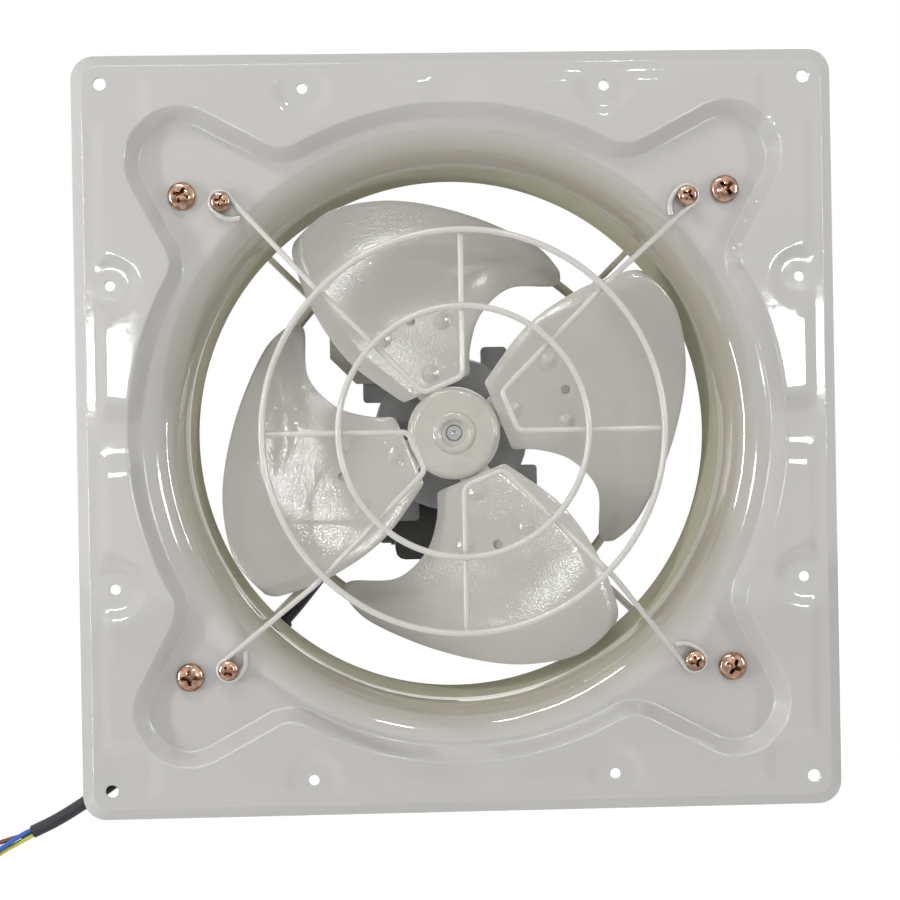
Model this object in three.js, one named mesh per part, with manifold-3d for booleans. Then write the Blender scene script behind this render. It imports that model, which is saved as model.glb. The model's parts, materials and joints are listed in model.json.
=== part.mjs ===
// A window exhaust fan: a square pressed-steel panel with a bell mouth, a wire guard in front,
// and a motor on four legs behind it that turns a four-bladed pressed-steel fan.
//
// Millimetres. Seen from the front, X is to the right and Z is up, and the front faces -Y.
// Inside the group, y is the depth behind the panel's border. The group is moved forward by the
// depth of the rim, so the part's origin is on the fan's axis in the plane that meets the wall.

import * as THREE from 'three';
import { mergeVertices } from 'three/addons/utils/BufferGeometryUtils.js';
import Module from 'manifold-3d';

const wasm = await Module();
wasm.setup();

// ---------------------------------------------------------------- driving dimensions

const SEAT = 0.3; // gap between two pieces that touch
const QUARTER = Math.PI / 2;

// panel
const SHEET = 1.2;
const BLADE_RADIUS = 125;
const TIP_CLEARANCE = 4.5;
const BELL_FLARE = 17.5; // how much wider the bell mouth is at its front
const BELL_LENGTH = 23.5;
const THROAT_DEPTH = 70; // rear edge of the throat
const FLOOR_DEPTH = 6.5; // floor of the lobed recess
const FLOOR_RING = 1.5; // flat ring between the bell mouth and the step
const STEP_WIDTH = 7.5; // plan width of the pressed step
const LAND_WIDTH = 14; // raised field beside the recess, at the middle of a side
const FIELD_MARGIN = 10; // from the field's edge to the panel's edge
const FIELD_RISE = 1.2;
const FIELD_SLOPE = 4;
const RIM_DEPTH = 12;
const RIM_BEND = 6.5;
const PANEL_CORNER = 11;
const LOBE_MARGIN = 24.5; // from a lobe's end to the panel's edge
const LOBE_RADIUS = 26.5;
const LOBE_TAPER = 17 * Math.PI / 180;
const LOBE_FILLET = 15;

// wall fixing holes
const CORNER_HOLE = 6;
const CORNER_HOLE_INSET = 14.5;
const CORNER_PAD = 32; // side of the square pad left flat in each corner of the panel
const EDGE_HOLE = 5;
const EDGE_HOLE_INSET = 17.7;
const EDGE_HOLE_SPACING = 142;
const EDGE_PAD_RADIUS = 8.8;

// guard
const WIRE = 2.6;
const RING_WIRE = 2.9;
const GUARD_DEPTH = -36; // centre line of the spokes, in front of the border
const GUARD_RING_RADIUS = 90;
const GUARD_INNER_RADIUS = 56;
const GUARD_HEART = 24.7; // where a wire turns from its leg to its spoke
const WIRE_BEND = 3;
const HOOK_RADIUS = 5;
const GUARD_SCREW_GAP = 9.1; // from the bell mouth to the guard screw, on the diagonal
const GUARD_SCREW = { shank: 4.8, head: 9.6, rise: 3, length: 12 };

// motor legs
const LEG_SCREW_STEP = 15.2; // from the guard screw to the leg screw, along the diagonal
const LEG_SCREW_SIDE = 10.75; // and beside the diagonal
const LEG_SCREW = { shank: 6, head: 13.4, rise: 4.2, length: 12.5 };
const LEG_SHEET = 3;
const LEG_WIDTH = 17;
const LEG_HEIGHT = 20;
const LEG_CLEARANCE = 8.3; // between the throat's rear edge and the legs
const LEG_GAP = 5.5; // between the motor and a leg's web
const LIP_WIDTH = 15.7;
const LIP_REACH = 34.7;
const REAR_RING_RADIUS = 99;
const REAR_RING_WIRE = 5;

// fan
const BLADE_SHEET = 1.2;
const BLADE_SLOPE = 0.25; // depth per millimetre across the blade
const BLADE_DEPTH = 46; // front of the blade at its rivets
const BLADE_CENTRE = -17; // sideways place of the rivets on the upright blade
const CAMBER = 5;
const LEADING_FOLD = 7;
const FOLD_DROP = 2;
const ROOT_CORNER = 2.5;
const RIVET = { head: 8, rise: 1.7, shank: 4 };
const HUB_RADIUS = 23.3;
const HUB_EDGE = 4;
const HUB_FRONT = 45.5;
const HUB_BOSS_RADIUS = 10.4;
const HUB_BOSS_END = 64;
const SPIDER_SHEET = 2;

// motor
const SHAFT = 8;
const SHAFT_FRONT = 46.3;
const MOTOR_RADIUS = 40;
const SHIELD_FRONT = 75;
const SHIELD_LENGTH = 20;
const SHELL_LENGTH = 45.7;
const SHELL_WALL = 1.2;
const BEARING = { outer: 22, width: 7 };
const EAR = { offset: 23.7, width: 13.4, thick: 7, shellGap: 6, edge: 6, corner: 2, front: 2 };
const EAR_BOLT = { shank: 5.8, head: 10, headRise: 4.2 };
const STATOR_LENGTH = 28;
const AIR_GAP = 0.4;
const ROTOR_RADIUS = 20.6;
const WINDING_LENGTH = 8;

// terminal box and cord
const BOX = { left: -29.5, width: 35.5, bottom: -67, height: 34, front: 104, depth: 34, wall: 2 };
const LID_THICKNESS = 2.5;
const GLAND = { flange: 16, neck: 11, tip: 8.8, length: 17 };
const CORD = 6.2;
const CORE = 2.2;
const CLIP_SHEET = 0.8;
const CLIP_WIDTH = 8;

// ---------------------------------------------------------------- sizes that follow

const THROAT_RADIUS = BLADE_RADIUS + TIP_CLEARANCE;
const BELL_RADIUS = THROAT_RADIUS + BELL_FLARE;
const RECESS_RADIUS = BELL_RADIUS + FLOOR_RING + STEP_WIDTH;
const PANEL_HALF = RECESS_RADIUS + LAND_WIDTH + FIELD_MARGIN;
const FIELD_HALF = PANEL_HALF - FIELD_MARGIN;
const LOBE_CENTRE = (PANEL_HALF - LOBE_MARGIN - LOBE_RADIUS) * Math.SQRT2;
const GUARD_SCREW_PLACE = BELL_RADIUS + GUARD_SCREW_GAP;
const LEG_SCREW_PLACE = GUARD_SCREW_PLACE + LEG_SCREW_STEP;
const LEG_FRONT = THROAT_DEPTH + LEG_CLEARANCE;
const LEG_REAR = LEG_FRONT + LEG_HEIGHT;
const SHIELD_REAR = SHIELD_FRONT + SHIELD_LENGTH;
const SHELL_FRONT = SHIELD_REAR + SEAT;
const SHELL_REAR = SHELL_FRONT + SHELL_LENGTH;
const EAR_SCREW = Math.sqrt((MOTOR_RADIUS + EAR.shellGap) ** 2 - EAR.offset ** 2);
const EAR_REACH = EAR_SCREW + EAR.edge;
const BLADE_TILT = Math.atan(BLADE_SLOPE);

// ---------------------------------------------------------------- materials

const finish = (color, roughness, metalness) =>
  new THREE.MeshStandardMaterial({ color, roughness, metalness });
const CREAM_ENAMEL = finish(0xd6d3cc, 0.25, 0);
const BLADE_ENAMEL = finish(0xc4c4b9, 0.32, 0);
const GUARD_COAT = finish(0xdad6cf, 0.3, 0);
const GREY_PAINT = finish(0x6e6e74, 0.5, 0);
const YELLOW_ZINC = finish(0xb98a5a, 0.35, 1);
const STEEL = finish(0xa8a8aa, 0.3, 1);
const LAMINATION = finish(0x77787a, 0.5, 1);
const COPPER = finish(0xb06a3a, 0.4, 0.8);
const DARK_GREY_PLASTIC = finish(0x464848, 0.55, 0);
const BLACK_PLASTIC = finish(0x1d1d1f, 0.5, 0);
const BLACK_PVC = finish(0x17171a, 0.45, 0);
const BROWN_PVC = finish(0x6b3f24, 0.5, 0);
const BLUE_PVC = finish(0x2457b8, 0.5, 0);
const GREEN_YELLOW_PVC = finish(0xb9c23a, 0.5, 0);

// ---------------------------------------------------------------- solids

/** A closed geometry as a solid whose faces point outwards. */
function solid(geometry) {
  const bare = geometry.index ? geometry.toNonIndexed() : geometry.clone();
  bare.deleteAttribute('normal');
  bare.deleteAttribute('uv');
  const merged = mergeVertices(bare, 1e-4);
  const corners = [];
  const index = merged.index.array;
  for (let i = 0; i < index.length; i += 3) {
    const [a, b, c] = [index[i], index[i + 1], index[i + 2]];
    if (a !== b && b !== c && c !== a) corners.push(a, b, c);
  }
  const vertProperties = merged.attributes.position.array;
  const make = (list) =>
    new wasm.Manifold(new wasm.Mesh({ numProp: 3, vertProperties, triVerts: new Uint32Array(list) }));
  const made = make(corners);
  return made.volume() < 0 ? make(corners.reverse()) : made;
}

const join = (...pieces) => pieces.reduce((all, piece) => all.add(piece));
const cut = (body, ...tools) => tools.reduce((left, tool) => left.subtract(tool), body);

/** A solid turned about the fan's axis, counter-clockwise as seen from the front. */
const turned = (body, angle) => body.rotate([0, -angle * 180 / Math.PI, 0]);

function mesh(name, body, material) {
  const { vertProperties, triVerts, numProp } = body.getMesh();
  const position = new Float32Array(vertProperties.length / numProp * 3);
  for (let i = 0; i < position.length / 3; i++) {
    position.set(vertProperties.subarray(i * numProp, i * numProp + 3), i * 3);
  }
  const geometry = new THREE.BufferGeometry();
  geometry.setAttribute('position', new THREE.BufferAttribute(position, 3));
  geometry.setIndex(new THREE.BufferAttribute(triVerts, 1));
  geometry.computeVertexNormals();
  const made = new THREE.Mesh(geometry, material);
  made.name = name;
  return made;
}

/** A flat plate with this outline in X and Z, between two depths. */
function plate(outline, front, rear) {
  const shape = new THREE.Shape(outline);
  const geometry = new THREE.ExtrudeGeometry(shape, { depth: rear - front, bevelEnabled: false });
  return solid(geometry.rotateX(QUARTER).translate(0, rear, 0));
}

/** A closed profile of [radius, depth] points, revolved about the fan's axis. */
function revolve(profile, segments) {
  const points = profile.map(([radius, depth]) => new THREE.Vector2(radius, depth));
  return solid(new THREE.LatheGeometry([...points, points[0]], segments));
}

function box(x, y, z) {
  const geometry = new THREE.BoxGeometry(x[1] - x[0], y[1] - y[0], z[1] - z[0]);
  const middle = [x, y, z].map(([low, high]) => (low + high) / 2);
  return solid(geometry.translate(...middle));
}

/** A round bar along Y at (x, z). */
function bar(x, z, radius, front, rear, sides = 12) {
  const geometry = new THREE.CylinderGeometry(radius, radius, rear - front, sides);
  return solid(geometry.translate(x, (front + rear) / 2, z));
}

/** A solid through outlines of equal length, each { outline, depth }. */
function loft(rings) {
  const count = rings[0].outline.length;
  const position = rings.flatMap((ring) => ring.outline.flatMap((p) => [p.x, ring.depth, p.y]));
  const index = [];
  for (let k = 0; k + 1 < rings.length; k++) {
    for (let i = 0; i < count; i++) {
      const [a, b] = [k * count + i, k * count + (i + 1) % count];
      index.push(a, b, b + count, a, b + count, a + count);
    }
  }
  const last = (rings.length - 1) * count;
  for (const [a, b, c] of THREE.ShapeUtils.triangulateShape(rings[0].outline, [])) {
    index.push(a, c, b);
  }
  for (const [a, b, c] of THREE.ShapeUtils.triangulateShape(rings.at(-1).outline, [])) {
    index.push(last + a, last + b, last + c);
  }
  const geometry = new THREE.BufferGeometry();
  geometry.setAttribute('position', new THREE.Float32BufferAttribute(position, 3));
  geometry.setIndex(index);
  return solid(geometry);
}

/** A path that visits its own points and no others. */
class RodPath extends THREE.Curve {
  constructor(points) {
    super();
    this.points = points;
  }
  getPoint(t) {
    return this.points[Math.round(t * (this.points.length - 1))].clone();
  }
  getPointAt(t) {
    return this.getPoint(t);
  }
  getTangentAt(t) {
    const i = Math.round(t * (this.points.length - 1));
    const before = this.points[Math.max(i - 1, 0)];
    const here = this.points[i];
    const after = this.points[Math.min(i + 1, this.points.length - 1)];
    const into = here.clone().sub(before).normalize();
    return after.clone().sub(here).normalize().add(into).normalize();
  }
}

/** A round rod or tube of this diameter along the points. */
function rod(points, diameter, sides) {
  const section = new THREE.Shape(arc(0, 0, diameter / 2, 0, 2 * Math.PI, sides).slice(0, -1));
  const extrudePath = new RodPath(points);
  return solid(new THREE.ExtrudeGeometry(section, { steps: points.length - 1, extrudePath }));
}

/** A ring of round wire about the fan's axis. */
function wireRing(radius, diameter, depth, segments, sides) {
  const geometry = new THREE.TorusGeometry(radius, diameter / 2, sides, segments);
  return solid(geometry.rotateX(QUARTER).translate(0, depth, 0));
}

/** A screw or rivet: a domed head in front of y = 0 and a shank behind it. */
function domedFastener({ head, rise, shank, length }, segments = 12) {
  const brim = rise * 0.35;
  const dome = [0, 0.6, 1].map((t) => [
    head / 2 * Math.sin(t * QUARTER),
    -brim - (rise - brim) * Math.cos(t * QUARTER),
  ]);
  return revolve([...dome, [head / 2, 0], [shank / 2, 0], [shank / 2, length], [0, length]],
    segments);
}

// ---------------------------------------------------------------- outlines in X and Z

function arc(x, z, radius, from, to, steps) {
  return Array.from({ length: steps + 1 }, (_, i) => {
    const angle = from + (to - from) * i / steps;
    return new THREE.Vector2(x + radius * Math.cos(angle), z + radius * Math.sin(angle));
  });
}

/** Repeats one quarter of an outline round the axis. */
function fourTimes(quarter) {
  return [0, 1, 2, 3].flatMap((turn) =>
    quarter.map((p) => p.clone().rotateAround(new THREE.Vector2(), turn * QUARTER)));
}

function roundedSquare(half, radius) {
  const centre = half - radius;
  return fourTimes(arc(centre, centre, radius, 0, QUARTER, 4));
}

/** The raised field: a square less a pad in each corner and a round pad at each edge hole. */
function fieldOutline(inset) {
  const edge = FIELD_HALF - inset;
  const notch = PANEL_HALF - CORNER_PAD - inset;
  const padRadius = EDGE_PAD_RADIUS + inset;
  const padCentre = PANEL_HALF - EDGE_HOLE_INSET;
  const mouth = Math.acos((edge - padCentre) / padRadius);
  const pad = (z) => arc(padCentre, z, padRadius, -mouth, mouth - 2 * Math.PI, 10);
  const bend = CORNER_PAD / 8;
  return fourTimes([
    ...pad(-EDGE_HOLE_SPACING / 2),
    ...pad(EDGE_HOLE_SPACING / 2),
    ...arc(edge - bend, notch - bend, bend, 0, QUARTER, 2),
    ...arc(notch + bend, notch + bend, bend, 3 * QUARTER, 2 * QUARTER, 2),
    ...arc(notch - bend, edge - bend, bend, 0, QUARTER, 2),
  ]);
}

/** The recess: a circle with a tapered, round-ended lobe on each diagonal. */
function lobedOutline(inset) {
  const radius = RECESS_RADIUS - inset;
  const tip = LOBE_RADIUS - inset;
  const fillet = LOBE_FILLET + inset;
  const [sin, cos] = [Math.sin(LOBE_TAPER), Math.cos(LOBE_TAPER)];
  // the fillet touches the circle and the lobe's straight flank from outside
  const offFlank = LOBE_CENTRE * sin + tip + fillet;
  const along = Math.sqrt((radius + fillet) ** 2 - offFlank ** 2);
  const centre = new THREE.Vector2(offFlank * sin + along * cos, offFlank * cos - along * sin);
  const touch = Math.atan2(centre.y, centre.x);
  const flank = Math.PI / 2 - LOBE_TAPER;
  const lobe = [
    ...arc(centre.x, -centre.y, fillet, Math.PI - touch, Math.PI - flank, 3),
    ...arc(LOBE_CENTRE, 0, tip, -flank, flank, 8),
    ...arc(centre.x, centre.y, fillet, Math.PI + flank, Math.PI + touch, 3),
  ].map((p) => p.rotateAround(new THREE.Vector2(), QUARTER / 2));
  const bare = arc(0, 0, radius, QUARTER / 2 + touch, 3 * QUARTER / 2 - touch, 8).slice(1, -1);
  return fourTimes([...lobe, ...bare]);
}

// ---------------------------------------------------------------- panel

/** What lies behind one skin of the pressed sheet: the front skin at 0, the rear skin at SHEET. */
function pressedBlank(skin) {
  const bend = RIM_BEND - skin;
  const rear = RIM_DEPTH + skin;
  const side = (fall) => ({
    outline: roundedSquare(PANEL_HALF - skin - bend * (1 - Math.sin(fall)),
      PANEL_CORNER - skin - bend * (1 - Math.sin(fall)) * 0.6),
    depth: RIM_BEND - bend * Math.cos(fall),
  });
  const slab = loft([
    { ...side(QUARTER), depth: rear },
    ...[1, 2 / 3, 1 / 3, 0].map((t) => side(t * QUARTER)),
  ]);
  const top = skin - FIELD_RISE;
  const boss = loft([
    { outline: fieldOutline(skin * 0.5), depth: skin + 1 },
    { outline: fieldOutline(skin * 0.5), depth: skin },
    { outline: fieldOutline(skin * 0.5 + FIELD_SLOPE), depth: top },
  ]);
  const fall = FLOOR_DEPTH + FIELD_RISE;
  const wall = -skin * 0.6;
  const recess = loft([
    { outline: lobedOutline(wall + STEP_WIDTH), depth: skin + FLOOR_DEPTH },
    { outline: lobedOutline(wall + STEP_WIDTH * 0.8), depth: top + fall * 0.9 },
    { outline: lobedOutline(wall + STEP_WIDTH * 0.22), depth: top + fall * 0.1 },
    { outline: lobedOutline(wall), depth: top },
    { outline: lobedOutline(wall), depth: top - 1 },
  ]);
  return cut(join(slab, boss), recess);
}

function bellMouth() {
  const skinAt = (skin) => [0, 1, 2, 3, 4].map((i) => {
    const angle = i / 4 * QUARTER;
    return [
      BELL_RADIUS - (BELL_FLARE - skin) * Math.sin(angle),
      FLOOR_DEPTH + BELL_LENGTH - (BELL_LENGTH - skin) * Math.cos(angle),
    ];
  });
  const lip = BELL_RADIUS + 1;
  return revolve([
    [lip, FLOOR_DEPTH],
    ...skinAt(0),
    [THROAT_RADIUS, THROAT_DEPTH],
    [THROAT_RADIUS + SHEET, THROAT_DEPTH],
    ...skinAt(SHEET).reverse(),
    [lip, FLOOR_DEPTH + SHEET],
  ], 64);
}

function framePanel() {
  const far = RIM_DEPTH + 10;
  const corner = PANEL_HALF - CORNER_HOLE_INSET;
  const edge = PANEL_HALF - EDGE_HOLE_INSET;
  const [nutRadius, nutRear] = [5, FLOOR_DEPTH + SHEET + 4.5];
  const holes = [];
  const nuts = [];
  for (const turn of [0, 1, 2, 3]) {
    const place = (body) => turned(body, turn * QUARTER);
    holes.push(place(bar(corner, corner, CORNER_HOLE / 2, -far, far)));
    for (const z of [-EDGE_HOLE_SPACING / 2, EDGE_HOLE_SPACING / 2]) {
      holes.push(place(bar(edge, z, EDGE_HOLE / 2, -far, far, 10)));
    }
    const screw = GUARD_SCREW_PLACE / Math.SQRT2;
    nuts.push(place(bar(screw, screw, nutRadius, FLOOR_DEPTH + SHEET / 2, nutRear, 6)));
    holes.push(place(bar(screw, screw, GUARD_SCREW.shank / 2 + SEAT, -far, far)));
  }
  for (const { angle, footSide } of CORNERS) {
    const hole = bar(LEG_SCREW_PLACE, footSide * LEG_SCREW_SIDE, LEG_SCREW.shank / 2 + SEAT, -far, far);
    holes.push(turned(hole, angle));
  }
  const blank = cut(pressedBlank(0), pressedBlank(SHEET), bar(0, 0, BELL_RADIUS + 0.5, -far, far, 64));
  return cut(join(blank, bellMouth(), ...nuts), ...holes);
}

// ---------------------------------------------------------------- guard

/** Replaces each inner corner of a path by a short bend. */
function bent(corners, radius) {
  return corners.flatMap((corner, i) => {
    if (i === 0 || i === corners.length - 1) return [corner];
    const reach = (other) => {
      const side = other.clone().sub(corner);
      return corner.clone().add(side.setLength(Math.min(radius, side.length() / 2)));
    };
    const [from, to] = [reach(corners[i - 1]), reach(corners[i + 1])];
    return new THREE.QuadraticBezierCurve3(from, corner, to).getPoints(3);
  });
}

/** One guard wire: a hook round its screw, a leg up to the rings, and a spoke. */
function guardWire() {
  const hookDepth = FLOOR_DEPTH - WIRE / 2 - SEAT;
  const hook = arc(GUARD_SCREW_PLACE, 0, HOOK_RADIUS, 0.75 * Math.PI, -0.65 * Math.PI, 9)
    .map((p) => new THREE.Vector3(p.x, hookDepth, p.y));
  const last = hook.at(-1);
  const spoke = new THREE.Vector2(Math.SQRT1_2, -Math.SQRT1_2);
  const at = (radius) => new THREE.Vector3(spoke.x * radius, GUARD_DEPTH, spoke.y * radius);
  const run = bent([
    last,
    new THREE.Vector3(last.x - HOOK_RADIUS, hookDepth, last.z * 0.9),
    new THREE.Vector3(GUARD_RING_RADIUS + HOOK_RADIUS, GUARD_DEPTH, 0),
    new THREE.Vector3(GUARD_HEART, GUARD_DEPTH, 0),
    at(GUARD_HEART),
    at(GUARD_RING_RADIUS + WIRE / 4),
  ], WIRE_BEND);
  return rod([...hook, ...run.slice(1)], WIRE, 6);
}

// ---------------------------------------------------------------- motor legs

/** Where an ear's bolt lies from the leg's diagonal, as [along, beside]. */
const EAR_PLACE = [
  (EAR.offset + EAR_SCREW) / Math.SQRT2,
  (EAR_SCREW - EAR.offset) / Math.SQRT2,
];

/**
 * A leg lies along +X here: a web on edge, a foot on the panel and a tab behind the motor's ear.
 * One leg has a lip along the front edge of its web as well.
 */
function motorLeg(footSide, lipReach) {
  const footFront = FLOOR_DEPTH + SHEET + SEAT;
  const [inner, outer] = [LEG_SCREW_PLACE - LEG_WIDTH / 2, LEG_SCREW_PLACE + LEG_WIDTH / 2];
  const chamfer = LEG_SHEET * 2.5;
  const start = MOTOR_RADIUS + LEG_GAP;
  const side = new THREE.Shape([
    new THREE.Vector2(inner, footFront),
    new THREE.Vector2(outer, footFront),
    new THREE.Vector2(outer, LEG_REAR - chamfer),
    new THREE.Vector2(outer - chamfer, LEG_REAR),
    new THREE.Vector2(start, LEG_REAR),
    new THREE.Vector2(start, LEG_FRONT + chamfer / 2),
    new THREE.Vector2(start + chamfer / 2, LEG_FRONT),
    new THREE.Vector2(inner - chamfer, LEG_FRONT),
    new THREE.Vector2(inner, LEG_FRONT - chamfer),
  ]);
  const web = solid(new THREE.ExtrudeGeometry(side, { depth: LEG_SHEET, bevelEnabled: false })
    .translate(0, 0, -LEG_SHEET / 2));

  const footWidth = LEG_SCREW_SIDE + LEG_WIDTH * 0.6;
  const sides = [-footSide * LEG_SHEET / 2, footSide * footWidth].sort((a, b) => a - b);
  const foot = box([inner, outer], [footFront, footFront + LEG_SHEET], sides);
  const screwSide = footSide * LEG_SCREW_SIDE;
  const nut = bar(LEG_SCREW_PLACE, screwSide, 5.6, footFront + LEG_SHEET / 2,
    footFront + LEG_SHEET + 5, 6);
  const screwHole = bar(LEG_SCREW_PLACE, screwSide, LEG_SCREW.shank / 2 + SEAT, 0, LEG_FRONT / 2);

  // the tab lies behind the ear as a square about its bolt, joined to the web
  const [boltAlong, boltBeside] = EAR_PLACE;
  const reach = (EAR.width / 2 - 1.5) * Math.SQRT2;
  const tabStart = start - 8;
  const tab = plate([
    new THREE.Vector2(tabStart, -LEG_SHEET / 2),
    new THREE.Vector2(boltAlong + reach, -LEG_SHEET / 2),
    new THREE.Vector2(boltAlong + reach, boltBeside),
    new THREE.Vector2(boltAlong, boltBeside + reach),
    new THREE.Vector2(tabStart, boltBeside + reach - (boltAlong - tabStart)),
  ], SHIELD_REAR + SEAT, SHIELD_REAR + SEAT + LEG_SHEET);
  const motorRoom = bar(0, 0, MOTOR_RADIUS + 0.4, 0, 2 * LEG_REAR, 48);
  const boltHole = bar(boltAlong, boltBeside, EAR_BOLT.shank / 2 + SEAT, SHIELD_FRONT, 2 * LEG_REAR);
  const leg = join(web, foot, nut, tab);
  return cut(lipReach ? join(leg, frontLip(lipReach)) : leg, motorRoom, boltHole, screwHole);
}

/** A stiffening lip folded from the front edge of a leg's web, its ends cut at 45 degrees. */
function frontLip(reach) {
  const start = MOTOR_RADIUS + LEG_GAP;
  const end = start + reach;
  const half = LIP_WIDTH / 2;
  return plate([
    new THREE.Vector2(start, -LEG_SHEET / 2),
    new THREE.Vector2(end, -LEG_SHEET / 2),
    new THREE.Vector2(end, half),
    new THREE.Vector2(end - half, LIP_WIDTH),
    new THREE.Vector2(start + half, LIP_WIDTH),
    new THREE.Vector2(start, half),
  ], LEG_FRONT, LEG_FRONT + LEG_SHEET);
}

// ---------------------------------------------------------------- motor

function frontShield() {
  const bore = MOTOR_RADIUS - 2.5;
  const pocket = BEARING.outer / 2 + SEAT;
  const bossFront = SHIELD_FRONT - 6.5;
  const cup = revolve([
    [SHAFT / 2 + 1, bossFront],
    [pocket + 1.2, bossFront],
    [pocket + 2.7, bossFront + 1.5],
    [pocket + 2.7, SHIELD_FRONT],
    [MOTOR_RADIUS - 4, SHIELD_FRONT],
    [MOTOR_RADIUS - 1.2, SHIELD_FRONT + 1.2],
    [MOTOR_RADIUS, SHIELD_FRONT + 4],
    [MOTOR_RADIUS, SHIELD_REAR],
    [bore, SHIELD_REAR],
    [bore, SHIELD_FRONT + 4.5],
    [pocket, SHIELD_FRONT + 3],
    [pocket, bossFront + 2],
    [SHAFT / 2 + 1, bossFront + 2],
  ], 40);
  const hollow = bar(0, 0, bore, SHIELD_FRONT + 4.5, SHIELD_REAR + 1, 40);
  const [low, high] = [EAR.offset - EAR.width / 2, EAR.offset + EAR.width / 2];
  const earFront = SHIELD_REAR - EAR.thick;
  const outline = [
    ...arc(high - EAR.corner, EAR_REACH - EAR.corner, EAR.corner, 0, QUARTER, 3),
    ...arc(low + EAR.corner, EAR_REACH - EAR.corner, EAR.corner, QUARTER, 2 * QUARTER, 3),
    new THREE.Vector2(low, EAR_SCREW / 2),
    new THREE.Vector2(high, EAR_SCREW / 2),
  ];
  const ears = [0, 1, 2, 3].map((turn) =>
    turned(cut(plate(outline, earFront, SHIELD_REAR), hollow), turn * QUARTER));
  const holes = [0, 1, 2, 3].map((turn) => turned(
    bar(EAR.offset, EAR_SCREW, EAR_BOLT.shank / 2 + SEAT, earFront + EAR.front, 2 * SHIELD_REAR),
    turn * QUARTER));
  return cut(join(cup, ...ears), ...holes);
}

function motorShell() {
  const bore = MOTOR_RADIUS - SHELL_WALL;
  const pocket = BEARING.outer / 2 + SEAT;
  const bossRear = SHELL_REAR + 8.5;
  return revolve([
    [0, bossRear - 1.5],
    [pocket, bossRear - 1.5],
    [pocket, SHELL_REAR - SHELL_WALL],
    [bore - 3, SHELL_REAR - SHELL_WALL],
    [bore, SHELL_REAR - 4],
    [bore, SHELL_FRONT],
    [MOTOR_RADIUS, SHELL_FRONT],
    [MOTOR_RADIUS, SHELL_REAR - 4],
    [MOTOR_RADIUS - 3, SHELL_REAR],
    [pocket + 2.7, SHELL_REAR],
    [pocket + 2.7, bossRear - 1.5],
    [pocket + 1.2, bossRear],
    [0, bossRear],
  ], 40);
}

function ring(inner, outer, front, rear, segments) {
  return revolve([[inner, front], [outer, front], [outer, rear], [inner, rear]], segments);
}

/** A bolt from behind, through a leg's tab into its ear. */
function earBolt() {
  const headFront = SHIELD_REAR + LEG_SHEET + 2 * SEAT;
  const across = EAR_BOLT.head / Math.sqrt(3);
  return join(
    bar(EAR.offset, EAR_SCREW, EAR_BOLT.shank / 2, SHIELD_REAR - EAR.thick + EAR.front + SEAT, headFront + 1),
    bar(EAR.offset, EAR_SCREW, across, headFront, headFront + EAR_BOLT.headRise, 6),
  );
}

// ---------------------------------------------------------------- fan

const OUTLINE_REACH = 125.1; // reach of the outline points below

/** Spline through [x, z] points of the upright blade's outline, at the fan's own size. */
function edgeCurve(points) {
  const size = BLADE_RADIUS / OUTLINE_REACH;
  return new THREE.SplineCurve(points.map(([x, z]) => new THREE.Vector2(x * size, z * size)));
}

const BLADE_EDGES = {
  leading: edgeCurve([[-25.1, 15.5], [-51.8, 35.9], [-69.1, 61.1], [-78.2, 86], [-77.7, 94.8]]),
  tip: edgeCurve([[-77.7, 94.8], [-60.8, 109.3], [-37.2, 115], [-13.3, 114.1], [15.8, 107.1],
    [44.5, 94.7], [56.8, 82.5]]),
  trailing: edgeCurve([[8.9, 29.5], [9.3, 43.4], [15, 59.9], [30.1, 73], [54.2, 74.8], [56.8, 82.5]]),
  root: edgeCurve([[-25.1, 15.5], [8.9, 29.5]]),
};
const RIVET_PLACES = [[-4.7, 56.4], [-34.9, 47.2], [-11, 29.8]];
const BALANCE_HOLE = [-20.8, 56.1];

/** A point of the blade's outline patch: u runs from the leading edge, v from the root. */
function bladePlace(u, v) {
  const { leading, tip, trailing, root } = BLADE_EDGES;
  const lower = root.getPointAt(u).multiplyScalar(1 - v).add(tip.getPointAt(u).multiplyScalar(v));
  const across = leading.getPointAt(v).multiplyScalar(1 - u).add(trailing.getPointAt(v).multiplyScalar(u));
  const corners = root.getPointAt(0).multiplyScalar((1 - u) * (1 - v))
    .add(root.getPointAt(1).multiplyScalar(u * (1 - v)))
    .add(tip.getPointAt(0).multiplyScalar((1 - u) * v))
    .add(tip.getPointAt(1).multiplyScalar(u * v));
  return lower.add(across).sub(corners);
}

const rampUp = (x, from, to) => THREE.MathUtils.smoothstep(x, from, to);

/** The depth of the blade's front at a place of its outline, beyond its flat root. */
function bladeDepth(x, z, fromLeading) {
  const outer = rampUp(Math.hypot(x, z), 60, 105);
  const across = (x - BLADE_CENTRE) / 65;
  const camber = CAMBER * outer * (1 - across * across);
  const fold = FOLD_DROP * Math.max(0, 1 - fromLeading / LEADING_FOLD);
  return BLADE_DEPTH + BLADE_SLOPE * (x - BLADE_CENTRE) - camber + fold;
}

/** A piece made flat at the blade's root, laid on the slope of the root. */
const onBlade = (body, x, z) => body.rotate([0, 0, BLADE_TILT * 180 / Math.PI])
  .translate([x, BLADE_DEPTH + BLADE_SLOPE * (x - BLADE_CENTRE), z]);



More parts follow.
